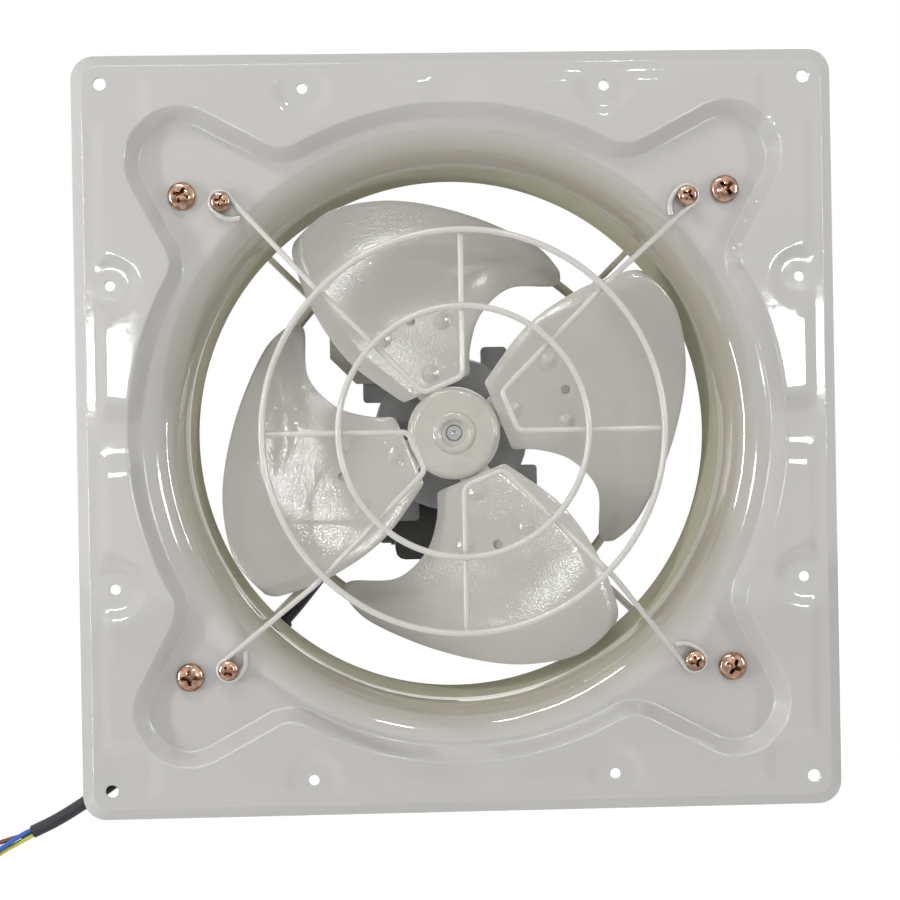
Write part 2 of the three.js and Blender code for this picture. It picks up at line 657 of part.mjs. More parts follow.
function fanBlade() {
  const [columns, rows] = [11, 9];
  const position = [];
  for (let j = 0; j <= rows; j++) {
    const v = j / rows;
    const chord = bladePlace(0, v).distanceTo(bladePlace(1, v));
    const foldShare = LEADING_FOLD / chord;
    for (let i = 0; i <= columns; i++) {
      const u = i === 0 ? 0 : THREE.MathUtils.lerp(foldShare, 1, (i - 1) / (columns - 1));
      const place = bladePlace(u, v);
      const depth = bladeDepth(place.x, place.y, u * chord);
      position.push(place.x, depth, place.y);
    }
  }
  const front = position.length / 3;
  for (let i = 0; i < front; i++) {
    position.push(position[3 * i], position[3 * i + 1] + BLADE_SHEET, position[3 * i + 2]);
  }
  const index = [];
  const quad = (a, b, c, d) => index.push(a, b, c, a, c, d);
  const at = (i, j) => j * (columns + 1) + i;
  for (let j = 0; j < rows; j++) {
    for (let i = 0; i < columns; i++) {
      quad(at(i, j), at(i + 1, j), at(i + 1, j + 1), at(i, j + 1));
      quad(front + at(i, j), front + at(i, j + 1), front + at(i + 1, j + 1), front + at(i + 1, j));
    }
  }
  const rim = [];
  for (let i = 0; i < columns; i++) rim.push(at(i, 0));
  for (let j = 0; j < rows; j++) rim.push(at(columns, j));
  for (let i = columns; i > 0; i--) rim.push(at(i, rows));
  for (let j = rows; j > 0; j--) rim.push(at(0, j));
  rim.forEach((a, i) => {
    const b = rim[(i + 1) % rim.length];
    quad(b, a, front + a, front + b);
  });
  const geometry = new THREE.BufferGeometry();
  geometry.setAttribute('position', new THREE.Float32BufferAttribute(position, 3));
  geometry.setIndex(index);
  const holes = [...RIVET_PLACES, BALANCE_HOLE].map(([x, z]) =>
    onBlade(bar(0, 0, RIVET.shank / 2 + SEAT, -5, 5, 8), x, z));
  return cut(solid(geometry), ...holes, rootRounding(0), rootRounding(1));
}

/** What the rounding takes off the blade's root corner at the leading (0) or trailing (1) edge. */
function rootRounding(end) {
  const { leading, trailing, root } = BLADE_EDGES;
  const side = end ? trailing : leading;
  const corner = side.getPointAt(0);
  const alongSide = side.getPointAt(0.03).sub(corner).normalize();
  const alongRoot = root.getPointAt(0.5).sub(corner).normalize();
  const turn = Math.acos(alongSide.dot(alongRoot));
  const touch = ROOT_CORNER / Math.tan(turn / 2);
  const inward = alongSide.clone().add(alongRoot).normalize();
  const centre = corner.clone().addScaledVector(inward, ROOT_CORNER / Math.sin(turn / 2));
  const [first, last] = [alongRoot, alongSide].map((way) => corner.clone().addScaledVector(way, touch));
  const startAngle = first.clone().sub(centre).angle();
  let sweep = last.clone().sub(centre).angle() - startAngle;
  if (Math.abs(sweep) > Math.PI) sweep -= Math.sign(sweep) * 2 * Math.PI;
  return plate([
    first.clone().addScaledVector(inward, -2 * SEAT),
    ...arc(centre.x, centre.y, ROOT_CORNER, startAngle, startAngle + sweep, 4),
    last.clone().addScaledVector(inward, -2 * SEAT),
    corner.clone().addScaledVector(inward, -2),
  ], 0, 2 * BLADE_DEPTH);
}

/** One arm of the spider, with its three rivets, behind the upright blade. */
function spiderArm() {
  const margin = RIVET.head / 2 + 3.5;
  const [upper, left, lower] = RIVET_PLACES;
  const across = Math.cos(BLADE_TILT);
  const flat = ([x, z]) => [(x - BLADE_CENTRE) / across, z];
  const round = (place, from, to) => {
    const [x, z] = flat(place);
    return arc(x, z, margin, from, to, 4);
  };
  const outline = [
    ...[[-10.5, 11], [1, 14]].map((place) => new THREE.Vector2(...flat(place))),
    ...round(lower, -0.15, 0.1),
    ...round(upper, 0, 0.6 * Math.PI),
    ...round(left, 0.6 * Math.PI, 1.25 * Math.PI),
  ];
  const front = BLADE_SHEET + SEAT;
  const arm = plate(outline, front, front + SPIDER_SHEET)
    .rotate([0, 0, BLADE_TILT * 180 / Math.PI])
    .translate([BLADE_CENTRE, BLADE_DEPTH, 0]);
  const rivet = domedFastener({ ...RIVET, length: front + SEAT + SPIDER_SHEET / 2 }, 10)
    .translate([0, -SEAT, 0]);
  return join(arm, ...RIVET_PLACES.map(([x, z]) => onBlade(rivet, x, z)));
}

function fanHub() {
  const bore = SHAFT / 2 + SEAT;
  const rimDepth = HUB_FRONT + HUB_EDGE;
  const rounded = [0, 1, 2, 3].map((i) => {
    const angle = i / 3 * QUARTER;
    return [
      HUB_RADIUS - HUB_EDGE * (1 - Math.sin(angle)),
      rimDepth - HUB_EDGE * Math.cos(angle),
    ];
  });
  const dish = revolve([
    [bore, HUB_FRONT + 0.8],
    [HUB_BOSS_RADIUS - 3.7, HUB_FRONT + 0.8],
    [HUB_BOSS_RADIUS - 3.2, HUB_FRONT - 0.9],
    [HUB_BOSS_RADIUS - 0.6, HUB_FRONT - 0.9],
    [HUB_BOSS_RADIUS, HUB_FRONT],
    ...rounded,
    [HUB_RADIUS, rimDepth + 4],
    [HUB_BOSS_RADIUS, rimDepth + 4],
    [HUB_BOSS_RADIUS, HUB_BOSS_END],
    [bore, HUB_BOSS_END],
  ], 36);
  const room = bar(0, 0, bore, 0, 2 * HUB_BOSS_END, 36);
  const setScrewHole = new THREE.CylinderGeometry(2.5 + SEAT, 2.5 + SEAT, 12, 10)
    .rotateX(QUARTER).translate(0, SET_SCREW_DEPTH, SHAFT / 2 + 6);
  const arms = [0, 1, 2, 3].map((turn) => turned(spiderArm(), turn * QUARTER));
  return cut(join(dish, ...arms), room, solid(setScrewHole));
}

const SET_SCREW_DEPTH = HUB_BOSS_END - 4.5;

function setScrew() {
  const [foot, length] = [SHAFT / 2 + SEAT, 7];
  const geometry = new THREE.CylinderGeometry(2.5, 2.5, length, 10);
  return solid(geometry.rotateX(QUARTER).translate(0, SET_SCREW_DEPTH, foot + length / 2));
}

// ---------------------------------------------------------------- terminal box

const BOX_RIGHT = BOX.left + BOX.width;
const BOX_TOP = BOX.bottom + BOX.height;
const BOX_REAR = BOX.front + BOX.depth;
const GLAND_HEIGHT = BOX.bottom + 15;
const GLAND_DEPTH = BOX.front + BOX.depth / 2;

function boxOutline(inset, radius = 5) {
  const [left, right] = [BOX.left + inset, BOX_RIGHT - inset];
  const [bottom, top] = [BOX.bottom + inset, BOX_TOP - inset];
  const round = Math.max(radius - inset, 1);
  return [
    ...arc(right - round, bottom + round, round, -QUARTER, 0, 3),
    ...arc(right - 1, top - 1, 1, 0, QUARTER, 1),
    ...arc(left + 1, top - 1, 1, QUARTER, 2 * QUARTER, 1),
    ...arc(left + round, bottom + round, round, 2 * QUARTER, 3 * QUARTER, 3),
  ];
}

function alongX(geometry, x, y, z) {
  return solid(geometry.rotateZ(QUARTER).translate(x, y, z));
}

function terminalBox() {
  const outside = plate(boxOutline(0), BOX.front, BOX_REAR);
  const saddle = bar(0, 0, MOTOR_RADIUS + 0.4, 0, 2 * BOX_REAR, 48);
  const inside = plate(boxOutline(BOX.wall), BOX.front + BOX.wall, BOX_REAR + 1);
  const saddleSkin = bar(0, 0, MOTOR_RADIUS + 0.4 + BOX.wall, 0, 2 * BOX_REAR, 48);
  const hole = alongX(new THREE.CylinderGeometry(CORD / 2 + 1, CORD / 2 + 1, 10, 16),
    BOX.left, GLAND_DEPTH, GLAND_HEIGHT);
  const posts = LID_SCREWS.map(([x, z]) => bar(x, z, 4.3, BOX.front + 1, BOX_REAR - 0.5, 8));
  const pilots = LID_SCREWS.map(([x, z]) => bar(x, z, LID_SCREW.shank / 2 + SEAT, BOX.front + 10, 2 * BOX_REAR, 8));
  const shell = cut(outside, saddle, cut(inside, saddleSkin), hole);
  return cut(join(shell, ...posts), ...pilots);
}

const LID_SCREW = { shank: 3, head: 6, rise: 2, length: 9 };
const LID_SCREWS = [
  [BOX.left + 5.4, BOX.bottom + 5.4],
  [BOX_RIGHT - 5.4, BOX.bottom + 5.4],
];

function terminalLid() {
  const lid = plate(boxOutline(0), BOX_REAR + SEAT, BOX_REAR + SEAT + LID_THICKNESS);
  const saddle = bar(0, 0, MOTOR_RADIUS + 0.4, 0, 2 * BOX_REAR, 48);
  const holes = LID_SCREWS.map(([x, z]) => bar(x, z, LID_SCREW.shank / 2 + SEAT, 0, 2 * BOX_REAR, 8));
  return cut(lid, saddle, ...holes);
}

/** The cord's gland: a flange on the box's side, and a tapered sleeve round the cord. */
function cableGland() {
  const bore = CORD / 2 + 2 * SEAT;
  const start = SEAT;
  const profile = [
    [bore, start],
    [GLAND.flange / 2, start],
    [GLAND.flange / 2, start + 2],
    [GLAND.neck / 2 + 1.5, start + 2],
    [GLAND.neck / 2 + 1.5, start + 7],
    [GLAND.neck / 2, start + 8],
    [GLAND.tip / 2, GLAND.length],
    [bore, GLAND.length],
  ];
  return revolve(profile, 16).rotate([0, 0, 90]).translate([BOX.left, GLAND_DEPTH, GLAND_HEIGHT]);
}

// ---------------------------------------------------------------- cord

/** A place beside the lower left leg: outwards from its screw, to the leg's side, and in depth. */
function besideLeg(outwards, beside, depth) {
  const along = LEG_SCREW_PLACE + outwards;
  const half = Math.SQRT1_2;
  return new THREE.Vector3(-half * along + half * beside, depth, -half * along - half * beside);
}

// The cord leaves the gland, crosses behind the rear ring, runs beside the lower left leg to the
// panel, and passes behind the rim at the lower left corner.
const BEHIND_RIM = RIM_DEPTH + 3.5;
const CORD_ROUTE = [
  new THREE.Vector3(BOX.left - 6.5, GLAND_DEPTH, GLAND_HEIGHT),
  new THREE.Vector3(BOX.left - 18.5, GLAND_DEPTH, GLAND_HEIGHT),
  new THREE.Vector3(BOX.left - 30.5, GLAND_DEPTH - 1.5, GLAND_HEIGHT - 1.5),
  besideLeg(-74.3, 2.6, LEG_REAR + 14.7),
  besideLeg(-55.3, 5.2, LEG_REAR + 5.2),
  besideLeg(-36.3, 6.1, LEG_REAR - 4.8),
  besideLeg(-19.3, 6.1, LEG_REAR - 15.3),
  besideLeg(-7.3, 6.1, LEG_REAR - 30.3),
  besideLeg(-2.3, 6.1, LEG_REAR - 48.3),
  besideLeg(4.7, 5.6, BEHIND_RIM + 17),
  besideLeg(18.7, 4.2, BEHIND_RIM + 5),
  besideLeg(38.7, 1.8, BEHIND_RIM + 0.5),
  besideLeg(60.7, -1.6, BEHIND_RIM),
  besideLeg(80.7, -5.6, BEHIND_RIM),
  besideLeg(94.7, -9.2, BEHIND_RIM),
  besideLeg(106.5, -13.4, BEHIND_RIM),
];

const cordCurve = new THREE.CatmullRomCurve3(CORD_ROUTE, false, 'centripetal');

const SHEATH_END = CORD_ROUTE.at(-1);
const SHEATH_AXIS = SHEATH_END.clone().sub(CORD_ROUTE.at(-2)).normalize();

/** A place beyond the sheath's end, from its distance ahead of it, above it and behind it. */
function beyondSheath(ahead, above, behind) {
  return new THREE.Vector3(
    SHEATH_END.x + SHEATH_AXIS.x * ahead + SHEATH_AXIS.z * above,
    SHEATH_END.y + behind,
    SHEATH_END.z + SHEATH_AXIS.z * ahead - SHEATH_AXIS.x * above,
  );
}

// The three cores leave the sheath side by side and spread a little.
const CORE_ROUTES = {
  lead_brown: [
    beyondSheath(SEAT, 0, 1.4),
    beyondSheath(4, 0.1, 1.4),
    beyondSheath(10, 1.3, 1.3),
    beyondSheath(17, 2.4, 1.1),
    beyondSheath(30, 4.5, 1),
    beyondSheath(46, 6, 0.6),
    beyondSheath(64, 6.5, 0),
  ],
  lead_blue: [
    beyondSheath(SEAT, 1.21, -0.7),
    beyondSheath(4, 1.2, -0.8),
    beyondSheath(10, 0.7, -1.1),
    beyondSheath(17, -0.2, -1.3),
    beyondSheath(30, -1.2, -1),
    beyondSheath(46, -3, -0.5),
    beyondSheath(64, -6, 0),
  ],
  lead_green_yellow: [
    beyondSheath(SEAT, -1.21, -0.7),
    beyondSheath(4, -1.4, -0.5),
    beyondSheath(10, -1.8, 0.4),
    beyondSheath(17, -2.2, 1.2),
    beyondSheath(30, -4.5, 1.6),
    beyondSheath(46, -8.5, 1.6),
    beyondSheath(62, -14.5, 1),
  ],
};

/** A band round the cord with a tab that lies on the leg. */
function cableClip(share) {
  const centre = cordCurve.getPoint(share);
  const axis = cordCurve.getTangent(share);
  const [inner, outer] = [CORD / 2 + 2 * SEAT, CORD / 2 + 2 * SEAT + CLIP_SHEET];
  const half = CLIP_WIDTH / 2;
  const band = ring(inner, outer, -half, half, 16);
  const tab = box([outer - 2.4, outer + 9], [-half, half], [-outer, -outer + CLIP_SHEET]);
  const hold = cut(join(band, tab), bar(0, 0, inner, -2 * half, 2 * half, 16));
  const beside = new THREE.Vector3(Math.SQRT1_2, 0, -Math.SQRT1_2);
  const along = axis.clone().sub(beside.clone().multiplyScalar(axis.dot(beside))).normalize();
  const across = new THREE.Vector3().crossVectors(along, beside);
  const frame = new THREE.Matrix4().makeBasis(across, along, beside).setPosition(centre);
  return hold.transform(frame.elements);
}

// ---------------------------------------------------------------- assembly

const CORNERS = [
  { name: 'top_right', angle: 0.5 * QUARTER, footSide: -1, lipReach: 0 },
  { name: 'top_left', angle: 1.5 * QUARTER, footSide: 1, lipReach: LIP_REACH },
  { name: 'bottom_left', angle: 2.5 * QUARTER, footSide: -1, lipReach: 0 },
  { name: 'bottom_right', angle: 3.5 * QUARTER, footSide: 1, lipReach: 0 },
];

const fan = new THREE.Group();
fan.position.y = -RIM_DEPTH;

const panel = new THREE.Group();
panel.add(mesh('frame_panel', framePanel(), CREAM_ENAMEL));
const ringDepth = GUARD_DEPTH - WIRE / 2 - RING_WIRE / 2 - SEAT;
const outerRing = wireRing(GUARD_RING_RADIUS, RING_WIRE, ringDepth, 48, 6);
const innerRing = wireRing(GUARD_INNER_RADIUS, RING_WIRE, ringDepth, 36, 6);
panel.add(mesh('guard_outer_ring', outerRing, GUARD_COAT));
panel.add(mesh('guard_inner_ring', innerRing, GUARD_COAT));

const wire = guardWire();
const guardScrew = domedFastener(GUARD_SCREW);
const legScrew = domedFastener(LEG_SCREW);
for (const { name, angle, footSide, lipReach } of CORNERS) {
  const guardSeat = FLOOR_DEPTH - WIRE - 2 * SEAT;
  const screw = guardScrew.translate([GUARD_SCREW_PLACE, guardSeat, 0]);
  const bigScrew = legScrew.translate([LEG_SCREW_PLACE, FLOOR_DEPTH - SEAT, footSide * LEG_SCREW_SIDE]);
  panel.add(mesh('guard_wire_' + name, turned(wire, angle), GUARD_COAT));
  panel.add(mesh('guard_screw_' + name, turned(screw, angle), YELLOW_ZINC));
  panel.add(mesh('leg_screw_' + name, turned(bigScrew, angle), YELLOW_ZINC));
  panel.add(mesh('motor_leg_' + name, turned(motorLeg(footSide, lipReach), angle), CREAM_ENAMEL));
}
const rearRingDepth = LEG_REAR + SEAT + REAR_RING_WIRE / 2;
const rearRing = wireRing(REAR_RING_RADIUS, REAR_RING_WIRE, rearRingDepth, 48, 6);
panel.add(mesh('rear_leg_ring', rearRing, CREAM_ENAMEL));

const motor = new THREE.Group();
motor.add(mesh('motor_front_shield', frontShield(), GREY_PAINT));
motor.add(mesh('motor_shell', motorShell(), GREY_PAINT));
const bolt = earBolt();
CORNERS.forEach(({ name }, turn) => {
  motor.add(mesh('ear_bolt_' + name, turned(bolt, turn * QUARTER), STEEL));
});
const coreFront = SHELL_FRONT + 4.7;
const coreRear = coreFront + STATOR_LENGTH;
const statorRadius = MOTOR_RADIUS - SHELL_WALL - SEAT;
const statorBore = ROTOR_RADIUS + AIR_GAP;
const stator = ring(statorBore, statorRadius, coreFront, coreRear, 36);
const frontWinding = ring(statorBore + 3, statorRadius - 3, coreFront - SEAT - WINDING_LENGTH,
  coreFront - SEAT, 24);
const rearWinding = ring(statorBore + 3, statorRadius - 3, coreRear + SEAT,
  coreRear + SEAT + WINDING_LENGTH * 0.7, 24);
motor.add(mesh('stator_core', stator, LAMINATION));
motor.add(mesh('stator_winding_front', frontWinding, COPPER));
motor.add(mesh('stator_winding_rear', rearWinding, COPPER));
const bearingBore = SHAFT / 2 + SEAT;
const frontBearing = ring(bearingBore, BEARING.outer / 2, SHIELD_FRONT - 4.2,
  SHIELD_FRONT - 4.2 + BEARING.width, 20);
const rearBearing = ring(bearingBore, BEARING.outer / 2, SHELL_REAR - 0.5,
  SHELL_REAR - 0.5 + BEARING.width, 20);
motor.add(mesh('front_bearing', frontBearing, STEEL));
motor.add(mesh('rear_bearing', rearBearing, STEEL));

const wiring = new THREE.Group();
wiring.add(mesh('terminal_box', terminalBox(), DARK_GREY_PLASTIC));
wiring.add(mesh('terminal_box_lid', terminalLid(), DARK_GREY_PLASTIC));
const lidScrew = domedFastener(LID_SCREW).rotate([180, 0, 0]);
LID_SCREWS.forEach(([x, z], i) => {
  const placed = lidScrew.translate([x, BOX_REAR + LID_THICKNESS + 2 * SEAT, z]);
  wiring.add(mesh('lid_screw_' + (i + 1), placed, STEEL));
});
wiring.add(mesh('cable_gland', cableGland(), BLACK_PLASTIC));
wiring.add(mesh('cable_clip_1', cableClip(5 / 15), BLACK_PLASTIC));
wiring.add(mesh('cable_clip_2', cableClip(8 / 15), BLACK_PLASTIC));
wiring.add(mesh('power_cord', rod(cordCurve.getSpacedPoints(26), CORD, 10), BLACK_PVC));
const coreFinish = {
  lead_brown: BROWN_PVC,
  lead_blue: BLUE_PVC,
  lead_green_yellow: GREEN_YELLOW_PVC,
};
for (const [name, route] of Object.entries(CORE_ROUTES)) {
  const curve = new THREE.CatmullRomCurve3(route, false, 'centripetal');
  wiring.add(mesh(name, rod(curve.getSpacedPoints(12), CORE, 8), coreFinish[name]));
}

const rotor = new THREE.Group();
const shaftRear = SHELL_REAR + 5.5;
rotor.add(mesh('motor_shaft', bar(0, 0, SHAFT / 2, SHAFT_FRONT, shaftRear, 16), STEEL));
rotor.add(mesh('rotor_core', ring(SHAFT / 2 + SEAT, ROTOR_RADIUS, coreFront, coreRear, 28), LAMINATION));
rotor.add(mesh('fan_hub', fanHub(), BLADE_ENAMEL));
rotor.add(mesh('hub_set_screw', setScrew(), STEEL));
const blade = fanBlade();
['top', 'left', 'bottom', 'right'].forEach((name, turn) => {
  rotor.add(mesh('blade_' + name, turned(blade, turn * QUARTER), BLADE_ENAMEL));
});

fan.add(panel, motor, wiring, rotor);

export default fan;
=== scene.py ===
"""The looks of a window exhaust fan: pressed enamelled panel, wire guard, riveted blades, motor.

Metres in the part's own frame: X to the right, Z up, the front towards -Y. Sizes of pieces are
written in millimetres, and a depth counts from the front of the panel's border towards the rear.
"""

import json
import math

import bmesh
import bpy
from mathutils import Matrix, Vector


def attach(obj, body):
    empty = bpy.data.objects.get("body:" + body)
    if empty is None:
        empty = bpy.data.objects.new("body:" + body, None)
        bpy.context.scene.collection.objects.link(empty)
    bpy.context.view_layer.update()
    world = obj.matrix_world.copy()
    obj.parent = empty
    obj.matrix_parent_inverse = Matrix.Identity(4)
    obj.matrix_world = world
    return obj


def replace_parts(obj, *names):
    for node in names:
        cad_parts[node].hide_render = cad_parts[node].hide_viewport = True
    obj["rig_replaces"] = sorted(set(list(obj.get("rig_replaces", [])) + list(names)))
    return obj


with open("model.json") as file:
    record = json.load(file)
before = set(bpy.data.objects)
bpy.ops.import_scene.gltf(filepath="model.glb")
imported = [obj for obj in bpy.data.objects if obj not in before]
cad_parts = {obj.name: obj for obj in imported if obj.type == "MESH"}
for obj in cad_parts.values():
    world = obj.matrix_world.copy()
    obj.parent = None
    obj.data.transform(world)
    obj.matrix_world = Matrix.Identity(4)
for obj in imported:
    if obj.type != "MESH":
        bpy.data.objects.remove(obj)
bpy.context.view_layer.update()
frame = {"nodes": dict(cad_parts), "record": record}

MM = 0.001
SEAT = 0.3
QUARTER = math.pi / 2
DIAGONAL = math.sqrt(0.5)
CORNERS = {"top_right": (1, 1), "top_left": (-1, 1),
           "bottom_left": (-1, -1), "bottom_right": (1, -1)}

# camera: lens and sensor in millimetres, turns in radians
LENS, SENSOR_WIDTH, SHIFT_X = 62.34, 36, 0.0374
YAW, PITCH, ROLL = 0.0266, -0.0023, -0.0176
CAMERA_PLACE = (-39.78, -732.29, -6.39)

# panel
SHEET = 1.2
THROAT_RADIUS = 129.5
BELL_RADIUS = 147.0
BELL_LENGTH = 23.5
THROAT_MIDDLE, THROAT_DEPTH = 36.0, 70.0
# the throat's painted shade: a darker, dull coat on the inner faces from this depth, reaching this
# far past the throat's radius
THROAT_SHADE_START, THROAT_SHADE_REACH = 17.0, 4.0  # behind the wall's plane, outside the throat
FLOOR_DEPTH = 6.5
STEP_WIDTH = 7.5
RECESS_RADIUS = 156.0
FIELD_HALF = 170.0
FIELD_RISE = 1.2
FIELD_SLOPE = 6.0
FIELD_BLEND = 1.2
CHANNEL_HALF = 8.5
PANEL_HALF = 180.0
PANEL_CORNER = 11.0
RIM_DEPTH = 12.0
RIM_BEND = 6.5
RIM_INNER_BEND, RIM_OUTER_BEND = 1.2, 2.5
RIM_SLOPE = math.radians(38)
LOBE_CENTRE = 129.0 * math.sqrt(2)
LOBE_RADIUS = 26.5
LOBE_TAPER = math.radians(17)
LOBE_FILLET = 15.0
STEP_BEND = 1.5
CORNER_HOLE, CORNER_HOLE_PLACE, CORNER_PAD = 6.0, 165.5, 32.0
EDGE_HOLE, EDGE_HOLE_PLACE, EDGE_HOLE_SPACING, EDGE_PAD_RADIUS = 5.0, 162.3, 142.0, 8.8
PAD_HALF_ANGLE = math.radians(4.6)
HOLE_LIP = 0.35
DRILL_REACH = 4.0
NUT_RADIUS, NUT_HEIGHT, NUT_DEPTH = 5.0, 4.5, 2.2

# guard and screws
WIRE, RING_WIRE, WIRE_BEND = 2.6, 2.9, 3.0
GUARD_DEPTH = -36.0
GUARD_RING_RADIUS, GUARD_INNER_RADIUS, GUARD_HEART = 90.0, 56.0, 24.7
HOOK_RADIUS, HOOK_START, HOOK_STOP = 5.0, 0.45 * math.pi, -0.65 * math.pi
HOOK_TAIL = [(-11.8, -0.9), (-9, 2.4), (-6, 4.3), (-2.6, 5.1)]
GUARD_SCREW_PLACE = 156.1
GUARD_SCREW_AT = (GUARD_SCREW_PLACE * DIAGONAL, GUARD_SCREW_PLACE * DIAGONAL)
LEG_SCREW_PLACE, LEG_SCREW_SIDE = 171.3, 10.75
LEG_SCREW_AT = ((LEG_SCREW_PLACE + LEG_SCREW_SIDE) * DIAGONAL,
                (LEG_SCREW_PLACE - LEG_SCREW_SIDE) * DIAGONAL)
GUARD_SCREW_HOLE, LEG_SCREW_HOLE = 5.4, 6.6
# head, rise of its dome, shank, length
GUARD_SCREW, LEG_SCREW = (9.6, 3.0, 4.8, 12.0), (13.4, 4.2, 6.0, 12.5)
SCREW_TURNS = (0.5, 0.2, 0.9, 1.2)
LEG_SCREW_TURN = 1.7
REAR_RING_RADIUS, REAR_RING_WIRE, LEG_REAR = 99.0, 5.0, 98.3

# fan and motor
BLADE_SHEET, BLADE_SLOPE, BLADE_DEPTH, BLADE_CENTRE = 1.2, 0.25, 46.0, -17.0
CAMBER, CAMBER_FROM, CAMBER_TO, CAMBER_HALF = 5.0, 60.0, 105.0, 65.0
LEADING_FOLD, FOLD_DROP = 7.0, 2.0
ROOT_FOLD, ROOT_FOLD_WIDTH, ROOT_FOLD_FROM, ROOT_FOLD_TO = 0.9, 7.0, 45.0, 66.0
COLUMNS, ROWS, FOLDED_COLUMNS = 60, 52, 6
FAN_RADIUS, DRAWN_RADIUS = 125.0, 125.1
ROOT_CORNER, TIP_CORNER, LEADING_CORNER = 2.5, 5.0, 2.0
RIVET_PLACES = [(-4.7, 56.4), (-34.9, 47.2), (-11.0, 29.8)]
BALANCE_HOLE = (-20.8, 56.1)
RIVET_HEAD, RIVET_RISE, RIVET_HOLE = 8.0, 1.2, 2.3
RIVET_TAIL = [(2, 0.1), (2, 2.5), (3.4, 3.9), (3, 4.9), (0, 5.4)]
ARM_SHEET, ARM_MARGIN = 2.0, 3.5
HUB_RADIUS, HUB_EDGE, HUB_FRONT = 23.3, 4.0, 45.5
HUB_BOSS_RADIUS, HUB_BOSS_END = 10.4, 64.0
HUB_BEAD, HUB_WALL, HUB_COAT_REACH = 1.9, 4.0, 4.5
SHAFT, SHAFT_FRONT, SHAFT_END = 8.0, 46.3, 146.5
MOTOR_RADIUS = 40.0
SHELL_FRONT, SHELL_REAR = 95.3, 141.0
SHELL_SHEET, SHELL_BEND = 1.2, 4.0
REAR_BOSS_RADIUS, REAR_BOSS_BORE, REAR_BOSS_LENGTH = 14.0, 11.3, 8.5
CORD, CORE = 6.2, 2.2


def place(x, depth, z):
    """A point of the part from millimetres and a depth behind the panel's border."""
    return Vector((x, depth - RIM_DEPTH, z)) * MM


def stations(steps, stop=1.0):
    """Evenly spaced numbers from 0 to stop."""
    return [stop * k / steps for k in range(steps + 1)]


def smoothstep(x, low, high):
    t = min(max((x - low) / (high - low), 0), 1)
    return t * t * (3 - 2 * t)


def link(thing):
    """Puts a new object into the scene."""
    bpy.context.scene.collection.objects.link(thing)
    return thing


def pulled_bend(start, corner, stop, steps):
    """Points on a bend from start to stop, pulled towards the corner."""
    return [start * (1 - t) ** 2 + corner * 2 * t * (1 - t) + stop * t * t for t in stations(steps)]


# ------------------------------------------------------------------ camera

camera = link(bpy.data.objects.new("camera", bpy.data.cameras.new("camera")))
bpy.context.scene.camera = camera
camera.data.lens = LENS
camera.data.sensor_width = SENSOR_WIDTH
camera.data.shift_x = SHIFT_X
camera.data.clip_start, camera.data.clip_end = 0.01, 20
ahead = Vector((math.sin(YAW) * math.cos(PITCH), math.cos(YAW) * math.cos(PITCH), math.sin(PITCH)))
level = Vector((math.cos(YAW), -math.sin(YAW), 0))
upright = level.cross(ahead)
right = level * math.cos(ROLL) + upright * math.sin(ROLL)
up = upright * math.cos(ROLL) - level * math.sin(ROLL)
facing = Matrix([right, up, -ahead]).transposed().to_4x4()
camera.matrix_world = Matrix.Translation(place(*CAMERA_PLACE)) @ facing


# ------------------------------------------------------------------ shader groups and finishes

def node_group(name, results, **sources):
    """A new shader group; gives its tree, its sources and its results.

    A source is a colour where it has four numbers and a plain number where it has one.
    """
    group = bpy.data.node_groups.new(name, "ShaderNodeTree")
    group.interface.new_socket("Vector", in_out="INPUT", socket_type="NodeSocketVector")
    for socket, default in sources.items():
        kind = "NodeSocketColor" if isinstance(default, tuple) else "NodeSocketFloat"
        made = group.interface.new_socket(socket.replace("_", " "), in_out="INPUT",
                                          socket_type=kind)
        made.default_value = default
    for socket in results:
        kind = "NodeSocketColor" if socket == "Color" else "NodeSocketFloat"
        group.interface.new_socket(socket, in_out="OUTPUT", socket_type=kind)
    source, result = group.nodes.new("NodeGroupInput"), group.nodes.new("NodeGroupOutput")
    return group, source.outputs, result.inputs


def plug(tree, given, socket):
    """Links a socket to a node's output, or gives it a fixed value."""
    if isinstance(given, bpy.types.NodeSocket):
        tree.links.new(given, socket)
    else:
        socket.default_value = given


def maths(tree, operation, *values):
    node = tree.nodes.new("ShaderNodeMath")
    node.operation = operation
    for socket, value in zip(node.inputs, values):
        plug(tree, value, socket)
    return node.outputs[0]


def noise(tree, vector, scale, detail):
    node = tree.nodes.new("ShaderNodeTexNoise")
    for socket, given in (("Vector", vector), ("Scale", scale), ("Detail", detail)):
        plug(tree, given, node.inputs[socket])
    return node.outputs["Fac"]


def spread(tree, value, low, high, to_low, to_high):
    """The value moved from one range to the other, and kept inside it."""
    node = tree.nodes.new("ShaderNodeMapRange")
    for socket, given in (("Value", value), ("From Min", low), ("From Max", high),
                          ("To Min", to_low), ("To Max", to_high)):
        plug(tree, given, node.inputs[socket])
    return node.outputs["Result"]


def mixed(tree, share, first, second):
    """The first colour, or the second where the share is 1."""
    node = tree.nodes.new("ShaderNodeMix")
    node.data_type = "RGBA"
    for index, given in ((0, share), (6, first), (7, second)):
        plug(tree, given, node.inputs[index])
    return node.outputs[2]


def split(tree, vector):
    """The X, Y and Z of a vector."""
    node = tree.nodes.new("ShaderNodeSeparateXYZ")
    tree.links.new(vector, node.inputs[0])
    return node.outputs


def off_axis(tree, vector):
    """How far a place is from the fan's axis."""
    x, _, z = split(tree, vector)
    squares = maths(tree, "MULTIPLY", x, x), maths(tree, "MULTIPLY", z, z)
    return maths(tree, "SQRT", maths(tree, "ADD", *squares))


